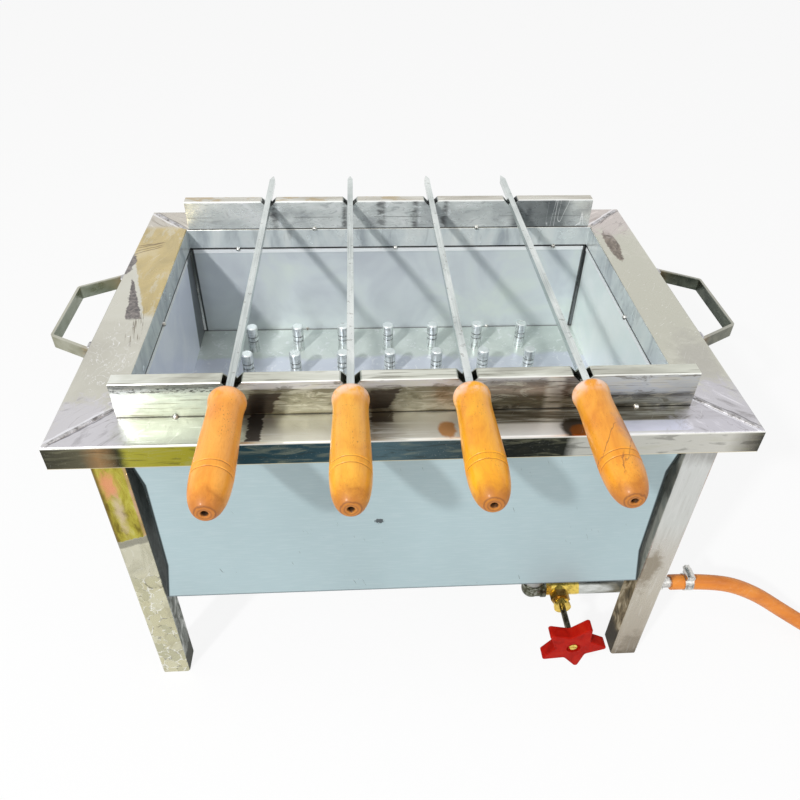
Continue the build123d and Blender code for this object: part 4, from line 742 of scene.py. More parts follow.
def front_marks(f, ragged):
    """The strip before the rail: pale, dark and lilac fields of painted reflection, painted shade near the
    rail and a lilac patch of painted reflection; the lip: olive, navy, black and pale painted reflections,
    with a painted highlight along its top.
    """
    along = f.noise(0.0035, (14, 1, 1), rough=0.6, warp=0.5)
    # Painted reflections: the strip's fields along it.
    fields = f.ramp(f.ratio(f.plus(f.plus(f.x, f.sway(along, 0.03)), 0.24), 0.48), {
        0.0: (0.56, 0.55, 0.54), 0.06: (0.42, 0.435, 0.37), 0.225: (0.44, 0.46, 0.39),
        0.25: (0.62, 0.61, 0.5), 0.29: (0.82, 0.82, 0.72), 0.42: (0.9, 0.9, 0.82),
        0.435: (0.26, 0.22, 0.16), 0.5: (0.76, 0.75, 0.68), 0.62: (0.92, 0.91, 0.86), 0.735: grey(0.92),
        0.85: (0.82, 0.82, 0.85), 1.0: (0.62, 0.61, 0.65),
    })
    near = f.rise(f.plus(f.y, f.sway(along, 0.004)), -0.1545, -0.1515)
    # Painted shade near the rail, on the right.
    painted_rail_shade = f.times(near, f.rise(f.x, 0.035, 0.055))
    dim = f.ramp(along, {0.38: (0.12, 0.1, 0.07), 0.56: (0.3, 0.29, 0.25), 0.7: (0.46, 0.46, 0.42)})
    fields = f.mix(painted_rail_shade, fields, dim)
    fields = f.mix(f.rise(along, 0.54, 0.62), fields, (0.9, 0.91, 0.88), 0.35)
    f.coat(0.9, fields)
    # Painted reflection: a pale lilac patch on the strip.
    painted_flare = f.times(f.between(f.x, 0.15, 0.222, 0.004), f.between(f.y, -0.1655, -0.153, 0.0008))
    f.coat(painted_flare, (0.8, 0.81, 0.96), 0.95)
    torn = f.plus(f.x, f.sway(along, 0.01))
    shadow = f.times(f.between(torn, -0.1275, -0.116, 0.0008), f.between(f.y, -0.167, -0.13, 0.001))
    f.coat(shadow, (0.05, 0.042, 0.04), 0.93)
    shadow = f.times(f.between(torn, -0.032, -0.014, 0.0012), f.between(f.y, -0.148, -0.13, 0.001))
    f.coat(shadow, (0.09, 0.07, 0.05), 0.85)
    stain(f, ragged, 0.131, -0.161, 0.013, 0.013, (0.05, 0.035, 0.02), 0.95, 0.3)
    stain(f, ragged, 0.132, -0.164, 0.008, 0.008, (0.34, 0.11, 0.02), 0.9, 0.3)
    stain(f, ragged, 0.028, -0.158, 0.007, 0.009, (0.6, 0.25, 0.04), 0.85, 0.4)
    corner_film(f, ragged, "front_left", -0.252, -0.156, 0.034)
    corner_film(f, ragged, "front_right", 0.252, -0.152, 0.036)
    # Painted reflections: the lip's colours along it, with smears over them.
    place = f.plus(f.x, f.sway(ragged, 0.009))
    lip = f.ramp(f.ratio(f.plus(place, 0.28), 0.56), {
        0.0: (0.05, 0.05, 0.035), 0.05: (0.12, 0.11, 0.07), 0.075: (0.33, 0.2, 0.09),
        0.1: (0.03, 0.035, 0.02), 0.112: (0.4, 0.37, 0.05), 0.205: (0.33, 0.3, 0.025),
        0.225: (0.13, 0.15, 0.06), 0.25: (0.22, 0.235, 0.2), 0.262: (0.015, 0.04, 0.05),
        0.4: (0.03, 0.065, 0.08), 0.455: (0.08, 0.135, 0.155), 0.58: (0.04, 0.06, 0.066),
        0.625: (0.012, 0.014, 0.012), 0.715: (0.016, 0.018, 0.014), 0.732: (0.48, 0.485, 0.44),
        0.95: (0.6, 0.59, 0.54), 0.985: (0.2, 0.19, 0.16), 1.0: (0.035, 0.035, 0.03),
    })
    smear = f.noise(0.0045, (6, 1, 1), warp=0.6)
    lip = f.mix(f.rise(smear, 0.5, 0.68), lip, (0.4, 0.4, 0.26), 0.22)
    lip = f.mix(f.rise(smear, 0.44, 0.34), lip, (0.03, 0.03, 0.02), 0.4)
    # Painted highlight along the lip's top edge.
    lip = f.mix(f.rise(f.z, 0.3178, 0.3186), lip, (0.86, 0.86, 0.8), 0.85)
    lip = f.mix(f.rise(f.z, 0.2984, 0.298), lip, (0.82, 0.72, 0.48), 0.8)
    face = f.times(f.rise(f.z, 0.3196, 0.319), f.rise(f.y, -0.166, -0.1672))
    f.coat(face, lip)


def back_marks(f, ragged):
    """The corners' film."""
    corner_film(f, ragged, "back_left", -0.25, 0.222, 0.046)
    corner_film(f, ragged, "back_right", 0.25, 0.218, 0.046)


def front_rail_steel(steel):
    """The front rail: pale left, olive middle and dark right, painted reflections in bands by height, with
    the grips' dark reflections.
    """
    f = Finish("rail_steel_front", 1.0, 0.26)
    smear = f.noise(0.0035, (12, 1, 1), rough=0.6, warp=0.5)
    height = f.plus(f.z, f.sway(smear, 0.008))
    level = f.ratio(f.minus(height, frame_top), 0.033)
    # Painted reflections: the face's colours by height and along it.
    left = f.ramp(level, {
        0.0: (0.28, 0.29, 0.25), 0.12: (0.38, 0.4, 0.35), 0.7: (0.41, 0.44, 0.4), 0.8: (0.33, 0.35, 0.33),
        0.9: (0.13, 0.14, 0.13), 1.0: (0.2, 0.2, 0.18),
    })
    middle = f.ramp(level, {
        0.0: (0.2, 0.18, 0.115), 0.16: (0.33, 0.315, 0.245), 0.5: (0.24, 0.225, 0.16),
        0.74: (0.175, 0.16, 0.11), 0.8: (0.52, 0.5, 0.49), 1.0: (0.56, 0.54, 0.53),
    })
    right = f.ramp(level, {
        0.0: (0.1, 0.1, 0.09), 0.2: (0.42, 0.43, 0.41), 0.36: (0.09, 0.09, 0.085),
        0.48: (0.44, 0.46, 0.45), 0.95: (0.5, 0.51, 0.5),
    })
    f.tone = f.mix(f.rise(f.x, -0.145, -0.12), left, middle)
    # Painted reflection: darker bands on the right part.
    painted_dusk = f.ramp(level, {
        0.0: (0.1, 0.09, 0.075), 0.2: (0.26, 0.24, 0.17), 0.38: (0.1, 0.085, 0.06), 0.6: (0.3, 0.25, 0.2),
        0.8: (0.16, 0.14, 0.12), 1.0: grey(0.5),
    })
    f.coat(f.rise(f.x, 0.05, 0.066), painted_dusk)
    f.coat(f.rise(f.x, 0.14, 0.15), right)
    mottle = f.noise(0.006, (4, 1, 1), detail=6.0, rough=0.66, warp=0.8, shift=8.0)
    share = f.scaled(f.rise(f.x, -0.135, -0.115), 0.15, 0.55)
    f.coat(f.rise(mottle, 0.5, 0.6), (0.52, 0.5, 0.41), share)
    f.coat(f.rise(mottle, 0.46, 0.38), (0.11, 0.095, 0.06), share)
    line = f.noise(0.0011, (45, 1, 1), detail=3.0, rough=0.6, warp=0.2)
    f.coat(f.rise(line, 0.6, 0.66), (0.12, 0.1, 0.07), 0.65)
    f.coat(f.rise(line, 0.38, 0.32), (0.7, 0.71, 0.66), 0.3)
    # Painted reflection: a pale upright band.
    pale = f.times(f.between(f.x, 0.108, 0.122, 0.003), f.rise(smear, 0.4, 0.52))
    f.coat(pale, (0.66, 0.65, 0.58), 0.85)
    torn = f.plus(f.x, f.sway(mottle, 0.016))
    torn = f.plus(torn, f.times(f.minus(0.334, f.z), 0.55))
    for start, end, foot, top in ((-0.129, -0.104, 0.3205, 0.342), (-0.036, -0.0125, 0.324, 0.344)):
        shadow = f.times(f.between(torn, start, end, 0.0012), f.between(height, foot, top, 0.001))
        f.coat(shadow, (0.055, 0.042, 0.034), 0.9)
    speck = f.rise(f.noise(0.002, (2.5, 1, 1), rough=0.7), 0.5, 0.56)
    edge = f.times(f.between(f.z, 0.344, 0.349, 0.0015), f.rise(f.x, -0.12, -0.15))
    f.coat(f.times(speck, edge), (0.05, 0.05, 0.045), 0.85)
    top = f.ramp(f.noise(0.02, (5, 1, 1), warp=0.8), {
        0.35: (0.46, 0.46, 0.4), 0.52: (0.64, 0.65, 0.57), 0.7: (0.82, 0.83, 0.77),
    })
    streak = f.rise(f.noise(0.0016, (30, 1, 1), detail=3.0, warp=0.3, shift=4.0), 0.57, 0.64)
    top = f.mix(streak, top, (0.2, 0.19, 0.15), 0.7)
    # Painted highlight along the top's front edge.
    top = f.mix(f.rise(f.y, -0.1346, -0.1352), top, (0.9, 0.91, 0.86), 0.8)
    face = f.times(f.rise(f.y, -0.135, -0.1358), f.rise(f.z, 0.3526, 0.3518))
    f.tone = f.mix(face, top, f.tone)
    foot = f.times(f.rise(f.z, 0.3211, 0.3205), 0.92)
    f.coat(foot, (0.03, 0.028, 0.022))
    return f.paint(f.scaled(smear, 0.26, 0.42), [(smear, 0.00012), (f.noise(0.05), 0.0008)])


def dark_bars_with_glints(f, smear, places):
    """Dark upright bars, each with a painted highlight along one side."""
    for x, wide in places:
        place = f.plus(f.x, f.sway(smear, 0.014))
        bar = f.between(place, x - wide / 2, x + wide / 2, 0.003)
        f.coat(f.times(bar, f.rise(smear, 0.34, 0.6)), grey(0.12), 0.85)
        glint = f.times(f.between(place, x + 0.3 * wide, x + 0.7 * wide, 0.0015), f.rise(smear, 0.55, 0.4))
        f.coat(glint, (0.9, 0.92, 0.92), 0.7)


def rear_rail_steel(steel):
    """The notched rear rail, in pale cool greys, with dark bars and lines, painted shade and painted
    highlights at the right, and a painted highlight along the top's front edge.
    """
    f = Finish("rail_steel_rear", 0.4, 0.28)
    smear = f.noise(0.006, (3, 1, 1), detail=5.0, rough=0.62, warp=0.8)
    cloud = f.noise(0.03, (1.4, 1, 1), warp=0.5)
    f.tone = f.ramp(cloud, {
        0.32: (0.44, 0.46, 0.46), 0.48: (0.63, 0.66, 0.64), 0.62: (0.78, 0.8, 0.78),
        0.75: (0.88, 0.89, 0.9),
    })
    f.coat(f.rise(smear, 0.56, 0.68), (0.3, 0.32, 0.32), 0.5)
    places = (-0.011, 0.009), (0.028, 0.006), (0.062, 0.006), (-0.132, 0.008), (-0.052, 0.006)
    dark_bars_with_glints(f, smear, places)
    # Painted shade on the rail's right part.
    painted_dusk = f.times(f.rise(f.x, 0.132, 0.146), f.rise(f.x, 0.212, 0.196))
    f.coat(painted_dusk, (0.1, 0.11, 0.115), f.scaled(f.rise(cloud, 0.4, 0.6), 0.72, 0.95))
    # Painted highlights: bright veins at the right end.
    painted_flash = f.veins(0.04, 0.01, stretch=(0.6, 1, 2), detail=2.0, warp=0.5, shift=12.0)
    f.coat(f.times(painted_flash, f.rise(f.x, 0.17, 0.19)), (0.95, 0.96, 0.95), 0.9)
    line = f.times(f.between(f.z, 0.3338, 0.3344, 0.0003), f.rise(f.noise(0.03, (2, 1, 1)), 0.44, 0.5))
    f.coat(line, grey(0.1), 0.8)
    f.coat(f.rise(f.z, 0.3212, 0.3205), grey(0.05))
    top = f.ramp(f.noise(0.02, (5, 1, 1), warp=0.8), {
        0.35: (0.44, 0.41, 0.34), 0.55: (0.64, 0.62, 0.55), 0.72: (0.8, 0.8, 0.76),
    })
    tan = f.times(f.rise(f.noise(0.012, (2, 1, 1), shift=3.0), 0.5, 0.58), f.rise(f.x, 0.03, 0.0))
    top = f.mix(tan, top, (0.46, 0.32, 0.12), 0.6)
    # Painted highlight along the top's front edge.
    top = f.mix(f.rise(f.y, 0.192, 0.191), top, (0.95, 0.96, 0.94), 0.85)
    f.coat(f.rise(f.z, 0.3519, 0.3527), top)
    return f.paint(f.scaled(smear, 0.18, 0.4), [(smear, 0.00015)])


class GRILL_OT_frame_finish(bpy.types.Operator):
    """Finishes the top frame and the notched rails"""
    bl_idname = "grill.frame_finish"
    bl_label = "Frame and rails"

    def execute(self, context):
        steel = context.scene.grill.steel
        for side, axis, inner, marks in (
            ("left", "x", -0.233, left_marks), ("right", "x", 0.233, right_marks),
            ("front", "y", -0.1225, front_marks), ("back", "y", 0.1905, back_marks),
        ):
            dress(strip_steel(side, axis, inner, marks, steel), f"top_frame_{side}")
        dress(front_rail_steel(steel), "front_rail")
        dress(rear_rail_steel(steel), "rear_rail")
        return {"FINISHED"}


# Finishes of the body

def panel_steel(name, steel):
    """Smooth matt sheet with a few dark nicks, painted shade along its folded side edges and a darker line
    along its bottom edge.
    """
    f = Finish(name, 0.45, 0.46)
    low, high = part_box("body_panel_front")
    broad = f.noise(0.16, (1, 1, 1.6), detail=2.0, warp=0.3)
    dull = shade(steel.panel, 0.93)
    pale = shade(steel.panel, 1.06)
    f.tone = f.ramp(broad, {0.34: dull, 0.52: steel.panel, 0.7: pale})
    fine = f.noise(0.0016, (12, 1, 1), detail=3.0)
    f.coat(f.rise(fine, 0.45, 0.66), (0.75, 0.8, 0.8), 0.08)
    nick = f.noise(0.0009, (1, 1, 16), (0, 0.35, 0), 2.0, 0.5, 0.4, 5.0)
    few = f.rise(f.noise(0.045, detail=1.0, shift=2.0), 0.6, 0.64)
    f.coat(f.times(f.rise(nick, 0.72, 0.76), few), (0.06, 0.07, 0.075), 0.85)
    spot = f.spot((-0.0255, low.y, 0.2255), (0.0038, 0.01, 0.0028), f.noise(0.0016, rough=0.7), 0.2)
    f.coat(spot, (0.04, 0.045, 0.05), 0.9)
    # Painted shade: a dark line along the folded side edges.
    down = f.ratio(f.minus(high.z, f.z), high.z - low.z)
    bow = {0.0: 0.0, 0.22: 0.01, 0.76: 0.0085, 1.0: 0.001}
    spread = 80.0
    inset = f.ramp(down, {place: grey(spread * depth) for place, depth in bow.items()})
    inset = f.ratio(f.add("ShaderNodeSeparateColor", {0: inset}).outputs[0], spread)
    edge = f.plus(f.away(f.x), inset)
    f.coat(f.rise(edge, high.x - 0.0024, high.x - 0.0012), (0.012, 0.022, 0.022))
    f.coat(f.rise(f.z, low.z + 0.0018, low.z + 0.0008), (0.1, 0.12, 0.13), 0.75)
    rough = f.scaled(f.noise(0.02, detail=5.0), 0.4, 0.54)
    return f.paint(rough, [(fine, 0.00003), (broad, 0.0012)])


def side_panel_steel(steel):
    """Satin side sheet with a cloudy polish."""
    f = Finish("panel_steel_side", 0.6, 0.36)
    broad = f.noise(0.11, (1, 1.5, 1), detail=3.0, warp=0.5)
    f.tone = f.ramp(broad, {0.35: (0.44, 0.52, 0.54), 0.55: (0.52, 0.61, 0.63), 0.72: (0.62, 0.69, 0.7)})
    fine = f.noise(0.0016, (1, 12, 1), detail=3.0)
    f.coat(f.rise(fine, 0.45, 0.66), (0.78, 0.82, 0.82), 0.12)
    f.coat(f.scratches(0.04, 0.0007, (0.5, 0, 0), 0.72), (0.86, 0.88, 0.86), 0.35)
    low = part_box("body_panel_right")[0]
    f.coat(f.rise(f.z, low.z + 0.0018, low.z + 0.0008), (0.1, 0.12, 0.13), 0.75)
    return f.paint(f.scaled(broad, 0.28, 0.44), [(fine, 0.00003), (broad, 0.0015)])


def left_leg_steel():
    """Olive polish with a pink blob above, creased pale film below with painted light and shade on its
    facets and creases, a mottled inner face painted dark above as painted shade.
    """
    f = Finish("leg_steel_front_left", 1.0, 0.28)
    cloud = f.noise(0.012, (1, 1, 2.6), rough=0.6, warp=0.8)
    olive = f.ramp(cloud, {
        0.32: (0.2, 0.155, 0.02), 0.45: (0.42, 0.36, 0.05), 0.58: (0.52, 0.47, 0.08),
        0.72: (0.68, 0.62, 0.26),
    })
    ragged = f.noise(0.006, (1, 1, 2), detail=5.0, rough=0.65, warp=0.6)
    blob = f.spot((-0.2372, -0.168, 0.247), (0.0034, 0.01, 0.022), ragged, 0.8)
    olive = f.mix(blob, olive, (0.66, 0.52, 0.4), 0.7)
    blob = f.spot((-0.2395, -0.168, 0.278), (0.0066, 0.01, 0.013), ragged, 0.7)
    olive = f.mix(blob, olive, (0.8, 0.33, 0.18), 0.85)
    olive = f.mix(f.rise(f.x, -0.244, -0.2475), olive, (0.16, 0.1, 0.02), 0.8)
    share = f.scaled(f.rise(cloud, 0.4, 0.6), 0.4, 0.8)
    olive = f.mix(f.rise(f.x, -0.225, -0.2235), olive, (0.6, 0.36, 0.27), share)
    # Painted light and shade on the crumpled film: some facets paler, some darker, painted highlights on
    # some creases and painted shade in others.
    facet, crease = f.crumple(0.01, (1.2, 1.2, 1.5))
    film = f.ramp(facet, {0.1: (0.5, 0.485, 0.33), 0.5: (0.6, 0.57, 0.38), 0.9: (0.66, 0.64, 0.47)})
    film = f.mix(f.rise(cloud, 0.52, 0.66), film, (0.38, 0.35, 0.25), 0.4)
    ridge_highlight = f.rise(f.noise(0.009, detail=3.0, shift=6.0), 0.46, 0.56)
    film = f.mix(f.times(f.rise(crease, 0.06, 0.01), ridge_highlight), film, (0.95, 0.95, 0.9), 0.7)
    dark = f.times(f.rise(crease, 0.07, 0.02), f.rise(f.noise(0.007, shift=9.0), 0.54, 0.6))
    film = f.mix(dark, film, (0.14, 0.13, 0.09), 0.7)
    height = f.minus(f.z, f.times(f.plus(f.x, 0.2355), 0.32))
    height = f.plus(height, f.sway(ragged, 0.006))
    smooth = f.rise(height, 0.15, 0.17)
    film = f.mix(smooth, film, f.ramp(cloud, {0.34: (0.48, 0.465, 0.36), 0.6: (0.66, 0.64, 0.51)}), 0.8)
    f.tone = f.mix(f.rise(height, 0.2105, 0.212), film, olive)
    f.coat(f.between(height, 0.2035, 0.211, 0.0012), (0.26, 0.25, 0.2), 0.8)
    inner = f.rise(f.x, -0.2226, -0.2221)
    mottle = f.ramp(f.noise(0.012, (1, 1, 2), detail=5.0, rough=0.6, warp=1.0, shift=3.0), {
        0.4: (0.13, 0.14, 0.12), 0.5: (0.33, 0.35, 0.32), 0.6: (0.62, 0.635, 0.6),
    })
    squiggle = f.veins(0.008, 0.03, detail=2.0, warp=1.8, shift=5.0)
    squiggle = f.times(squiggle, f.between(f.z, 0.062, 0.082, 0.004))
    mottle = f.mix(squiggle, mottle, (0.04, 0.04, 0.035), 0.85)
    mottle = f.mix(f.rise(f.plus(f.z, f.times(ragged, 0.012)), 0.036, 0.03), mottle, (0.07, 0.075, 0.06))
    # Painted shade: the inner face painted dark above 0.14 m, where the body shades it.
    mottle = f.mix(f.rise(f.z, 0.12, 0.14), mottle, (0.05, 0.065, 0.06), 0.9)
    f.coat(inner, mottle)
    rough = f.most(f.scaled(cloud, 0.18, 0.36), f.times(inner, 0.6))
    f.preset("Specular IOR Level", 0.15)
    return f.paint(rough, [(facet, 0.0002), (cloud, 0.0008)], f.scaled(inner, 1.0, 0.1))


def leg_steel(name, stops, brown):
    """Rectangular tube: bright above and darker below in painted shade, darker again just under the body,
    stained below, with a mottled inner face painted grey-green higher up as painted reflection.
    """
    f = Finish(name, 1.0, 0.27)
    cloud = f.noise(0.016, (1, 1, 2.6), detail=5.0, rough=0.6, warp=0.7)
    height = f.plus(f.z, f.sway(cloud, 0.04))
    # Painted shade: the tone by height, darker at the foot and under the body.
    f.tone = f.ramp(f.ratio(height, 0.298), stops)
    streak = f.noise(0.0022, (1, 1, 14), detail=3.0, rough=0.6, warp=0.4)
    f.coat(f.rise(streak, 0.54, 0.64), (0.86, 0.86, 0.84), 0.14)
    f.coat(f.rise(streak, 0.44, 0.36), (0.34, 0.32, 0.28), 0.14)
    ragged = f.noise(0.01, detail=5.0, rough=0.65, warp=0.6, shift=2.0)
    patch = f.spot((0.229, -0.168, 0.145), (0.008, 0.02, 0.026), ragged, 0.5)
    f.coat(patch, (0.25, 0.205, 0.14), 0.95 * brown)
    patch = f.spot((0.24, -0.168, 0.02), (0.01, 0.02, 0.016), ragged, 0.6)
    f.coat(patch, (0.15, 0.12, 0.08), 0.6 * brown)
    speck = f.rise(f.noise(0.0018, detail=3.0, rough=0.7), 0.7, 0.74)
    f.coat(speck, (0.1, 0.09, 0.075), 0.7)
    inner = f.rise(f.away(f.x), 0.2226, 0.2221)
    mottle = f.ramp(f.noise(0.014, (1, 1, 2), detail=5.0, rough=0.62, warp=1.0, shift=3.0), {
        0.4: (0.06, 0.045, 0.02), 0.5: (0.2, 0.155, 0.085), 0.6: (0.42, 0.36, 0.25),
    })
    mottle = f.mix(f.rise(f.z, 0.046, 0.03), mottle, (0.045, 0.035, 0.02))
    # Painted reflection: the inner face grey-green higher up.
    mottle = f.mix(f.rise(f.z, 0.125, 0.135), mottle, (0.2, 0.24, 0.235), 0.7)
    f.coat(inner, mottle)
    rough = f.most(f.scaled(cloud, 0.18, 0.38), f.times(inner, 0.6))
    f.preset("Specular IOR Level", 0.15)
    return f.paint(rough, [(streak, 0.00008), (cloud, 0.001)], f.scaled(inner, 1.0, 0.1))


def handle_steel(name, dark, light):
    """Flat bar, darkened by heat at its welds, with a painted highlight along its top edge."""
    f = Finish(name, 1.0, 0.3)
    cloud = f.noise(0.018, (1, 2.5, 1), warp=0.6)
    f.tone = f.ramp(cloud, {0.34: dark, 0.6: light})
    low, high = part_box("handle_right")
    heat = f.rise(f.away(f.x), low.x + 0.012, low.x + 0.002)
    tint = f.ramp(f.noise(0.006, detail=3.0, warp=0.6), {
        0.38: (0.13, 0.07, 0.03), 0.56: (0.4, 0.26, 0.1), 0.68: (0.24, 0.26, 0.36),
    })
    f.coat(heat, tint, 0.5)
    # Painted highlight along the top edge.
    edge = f.rise(f.z, high.z - 0.0012, high.z - 0.0004)
    f.coat(edge, (0.62, 0.61, 0.54), 0.5)
    f.coat(f.scratches(0.02, 0.0006, (0, 0, 0.1), 0.66), (0.7, 0.7, 0.64), 0.3)
    return f.paint(f.scaled(cloud, 0.2, 0.42), [(f.noise(0.002, detail=3.0), 0.00006)])


class GRILL_OT_body_finish(bpy.types.Operator):
    """Finishes the legs, body panels and side handles"""
    bl_idname = "grill.body_finish"
    bl_label = "Body and legs"

    def execute(self, context):
        steel = context.scene.grill.steel
        dress(panel_steel("panel_steel_front", steel), "body_panel_front", "body_panel_back")
        dress(side_panel_steel(steel), "body_panel_left", "body_panel_right")
        # The legs' tones by height, darker at the foot and at the top as painted shade.
        beige = {
            0.0: (0.16, 0.13, 0.09), 0.05: (0.38, 0.33, 0.26), 0.35: (0.52, 0.48, 0.4),
            0.55: (0.56, 0.53, 0.47), 0.72: (0.6, 0.61, 0.58), 0.95: (0.62, 0.63, 0.61),
            1.0: (0.4, 0.4, 0.38),
        }
        cool = {
            0.0: (0.14, 0.13, 0.12), 0.06: (0.38, 0.39, 0.38), 0.6: (0.44, 0.46, 0.46),
            1.0: (0.3, 0.32, 0.32),
        }
        # The right handle in near-black tones, darker than the left.
        near_black = ((0.055, 0.06, 0.045), (0.17, 0.175, 0.135))
        dress(left_leg_steel(), "leg_front_left")
        dress(leg_steel("leg_steel_front_right", beige, 0.8), "leg_front_right")
        dress(leg_steel("leg_steel_rear", cool, 0.3), "leg_rear_left", "leg_rear_right")
        dress(handle_steel("handle_steel_left", (0.26, 0.26, 0.17), (0.42, 0.42, 0.33)), "handle_left")
        dress(handle_steel("handle_steel_right", *near_black), "handle_right")
        return {"FINISHED"}


# Finishes of the pit, the nozzles and the burner

def score(f, strength):
    """Fine scratches in three directions."""
    for turn, limit, shift in (
        ((0.4, 0, 0.7), 0.68, 0.0), ((-0.6, 0, -0.5), 0.7, 4.0), ((1.2, 0.3, 0), 0.71, 9.0),
    ):
        f.coat(f.scratches(0.035, 0.0007, turn, limit, shift), (0.9, 0.93, 0.92), strength)


def hem_highlight(f):
    """A painted highlight along the folded top edge."""
    f.coat(f.rise(f.z, 0.2896, 0.2903), (0.95, 0.97, 0.97), 0.9)


def back_wall_steel(steel):
    """Satin sheet with a faint cloud, dark edges at the corners and a painted highlight along its folded
    top edge.
    """
    f = Finish("pit_steel_back", 0.35, 0.38)
    cloud = f.noise(0.07, detail=3.0, warp=0.6)
    f.tone = f.ramp(cloud, {0.34: (0.58, 0.62, 0.655), 0.52: steel.satin, 0.7: (0.72, 0.785, 0.74)})
    score(f, 0.12)
    hem_highlight(f)
    edge = f.rise(f.away(f.x), 0.2288, 0.2298)
    f.coat(edge, grey(0.02), 0.9)
    return f.paint(f.scaled(cloud, 0.3, 0.46), [(f.noise(0.0013, (40, 1, 1), detail=2.0), 0.00003)])


def wall_steel(name, dark, light):
    """Satin sheet of a pit wall, with pale patches lower down, partly scuffing and partly painted light, a
    painted highlight along its folded top edge and, on the left wall, painted shade at the rear part.
    """
    f = Finish(name, 0.35, 0.38)
    cloud = f.noise(0.06, warp=0.6)
    f.tone = f.ramp(cloud, {0.36: dark, 0.62: light})
    # Pale patches lower down: partly scuffing, partly painted light.
    scuff_and_sheen = f.rise(f.noise(0.01, detail=6.0, rough=0.7, warp=1.0), 0.58, 0.66)
    f.coat(f.times(scuff_and_sheen, f.rise(f.z, 0.24, 0.19)), (0.86, 0.88, 0.97), 0.5)
    score(f, 0.12)
    hem_highlight(f)
    if name.endswith("left"):
        # Painted shade on the left wall's rear part.
        place = f.minus(f.y, f.times(f.minus(f.z, 0.182), 0.14))
        f.coat(f.rise(place, 0.149, 0.153), (0.07, 0.08, 0.085), 0.9)
    f.coat(f.rise(f.y, 0.1862, 0.1876), grey(0.02), 0.9)
    return f.paint(f.scaled(cloud, 0.3, 0.46), [(f.noise(0.0013, (1, 40, 1), detail=2.0), 0.00003)])


def floor_steel(steel):
    """Pit floor: greenish at the back as painted shade and lilac in front as painted light, scuffed round
    the nozzles' feet, the pale patches partly a painted sheen.
    """
    f = Finish("pit_steel_floor", 0.35, 0.38)
    cloud = f.noise(0.05, warp=0.7)
    f.tone = f.ramp(cloud, {0.34: (0.54, 0.6, 0.57), 0.52: (0.64, 0.7, 0.66), 0.7: (0.72, 0.78, 0.74)})
    # Painted light: the front of the floor lilac, the back left in painted shade.
    lilac = f.rise(f.plus(f.y, f.times(cloud, 0.03)), 0.148, 0.138)
    f.coat(lilac, (0.66, 0.69, 0.8), 0.75)
    scuff_and_sheen = f.rise(f.noise(0.012, detail=6.0, rough=0.7, warp=1.0), 0.55, 0.64)
    f.coat(scuff_and_sheen, (0.92, 0.94, 0.96), 0.5)
    score(f, 0.3)
    f.coat(f.rise(f.y, 0.1886, 0.1894), (0.2, 0.21, 0.2))
    return f.paint(f.scaled(cloud, 0.3, 0.48), [(f.noise(0.0013, (40, 1, 1), detail=2.0), 0.00003)])


def nozzle_steel():
    """Turned steel with tool rings, dark bands, upright streaks painted dark and bright as painted
    reflections, and a pale top painted as painted light.
    """
    f = Finish("nozzle_steel_turned", 0.6, 0.28)
    rings = f.noise(0.0006, (30, 30, 1), detail=2.0)
    f.tone = f.ramp(rings, {0.36: (0.5, 0.55, 0.54), 0.6: (0.74, 0.78, 0.77)})
    # Painted reflections: dark and bright upright streaks.
    streak = f.noise(0.0022, (1, 1, 8), detail=3.0, warp=0.6)
    f.coat(f.rise(streak, 0.53, 0.62), (0.2, 0.2, 0.19), 0.55)
    f.coat(f.rise(streak, 0.44, 0.36), (0.95, 0.97, 0.96), 0.5)
    for drop in (0.203, 0.197):
        f.coat(f.between(f.z, drop - 0.0008, drop + 0.0008, 0.0005), (0.08, 0.09, 0.08), 0.6)
    # Painted light: the pale top.
    top = f.rise(f.z, 0.2136, 0.2152)
    f.coat(top, (0.88, 0.93, 0.92), 0.8)
    return f.paint(f.scaled(rings, 0.2, 0.4), [(rings, 0.00006)])


def tube_steel():
    """Plain steel tube with mill marks."""
    f = Finish("tube_steel_mill", 0.9, 0.4)
    cloud = f.noise(0.03, warp=0.5)
    f.tone = f.ramp(cloud, {0.35: (0.26, 0.26, 0.25), 0.6: (0.44, 0.44, 0.42)})
    f.coat(f.rise(f.noise(0.003, rough=0.7), 0.58, 0.68), (0.2, 0.12, 0.06), 0.3)
    return f.paint(f.scaled(cloud, 0.32, 0.52), [(f.noise(0.002), 0.00006)])


class GRILL_OT_pit_finish(bpy.types.Operator):
    """Finishes the pit's sheets, the gas nozzles and the burner tubes"""
    bl_idname = "grill.pit_finish"
    bl_label = "Pit and burner"

    def execute(self, context):
        steel = context.scene.grill.steel
        dress(back_wall_steel(steel), "pit_wall_back")
        # The same satin sheet in each wall's own tint, lavender left, green right and darker front:
        # painted light and reflection.
        dress(wall_steel("pit_steel_left", (0.78, 0.82, 0.93), (0.9, 0.93, 1.0)), "pit_wall_left")
        dress(wall_steel("pit_steel_right", (0.84, 0.92, 0.9), (0.93, 0.98, 0.96)), "pit_wall_right")
        dress(wall_steel("pit_steel_front", (0.66, 0.72, 0.74), (0.8, 0.86, 0.87)), "pit_wall_front")
        dress(floor_steel(steel), "pit_floor")
        rows = [f"burner_nozzles_{row}" for row in range(1, 6)]
        dress(nozzle_steel(), *rows)
        tubes = ("burner_tubes", "burner_tube_caps", "burner_header", "header_caps", "mixing_tube")
        dress(tube_steel(), *tubes)
        return {"FINISHED"}


# Finishes of the gas line

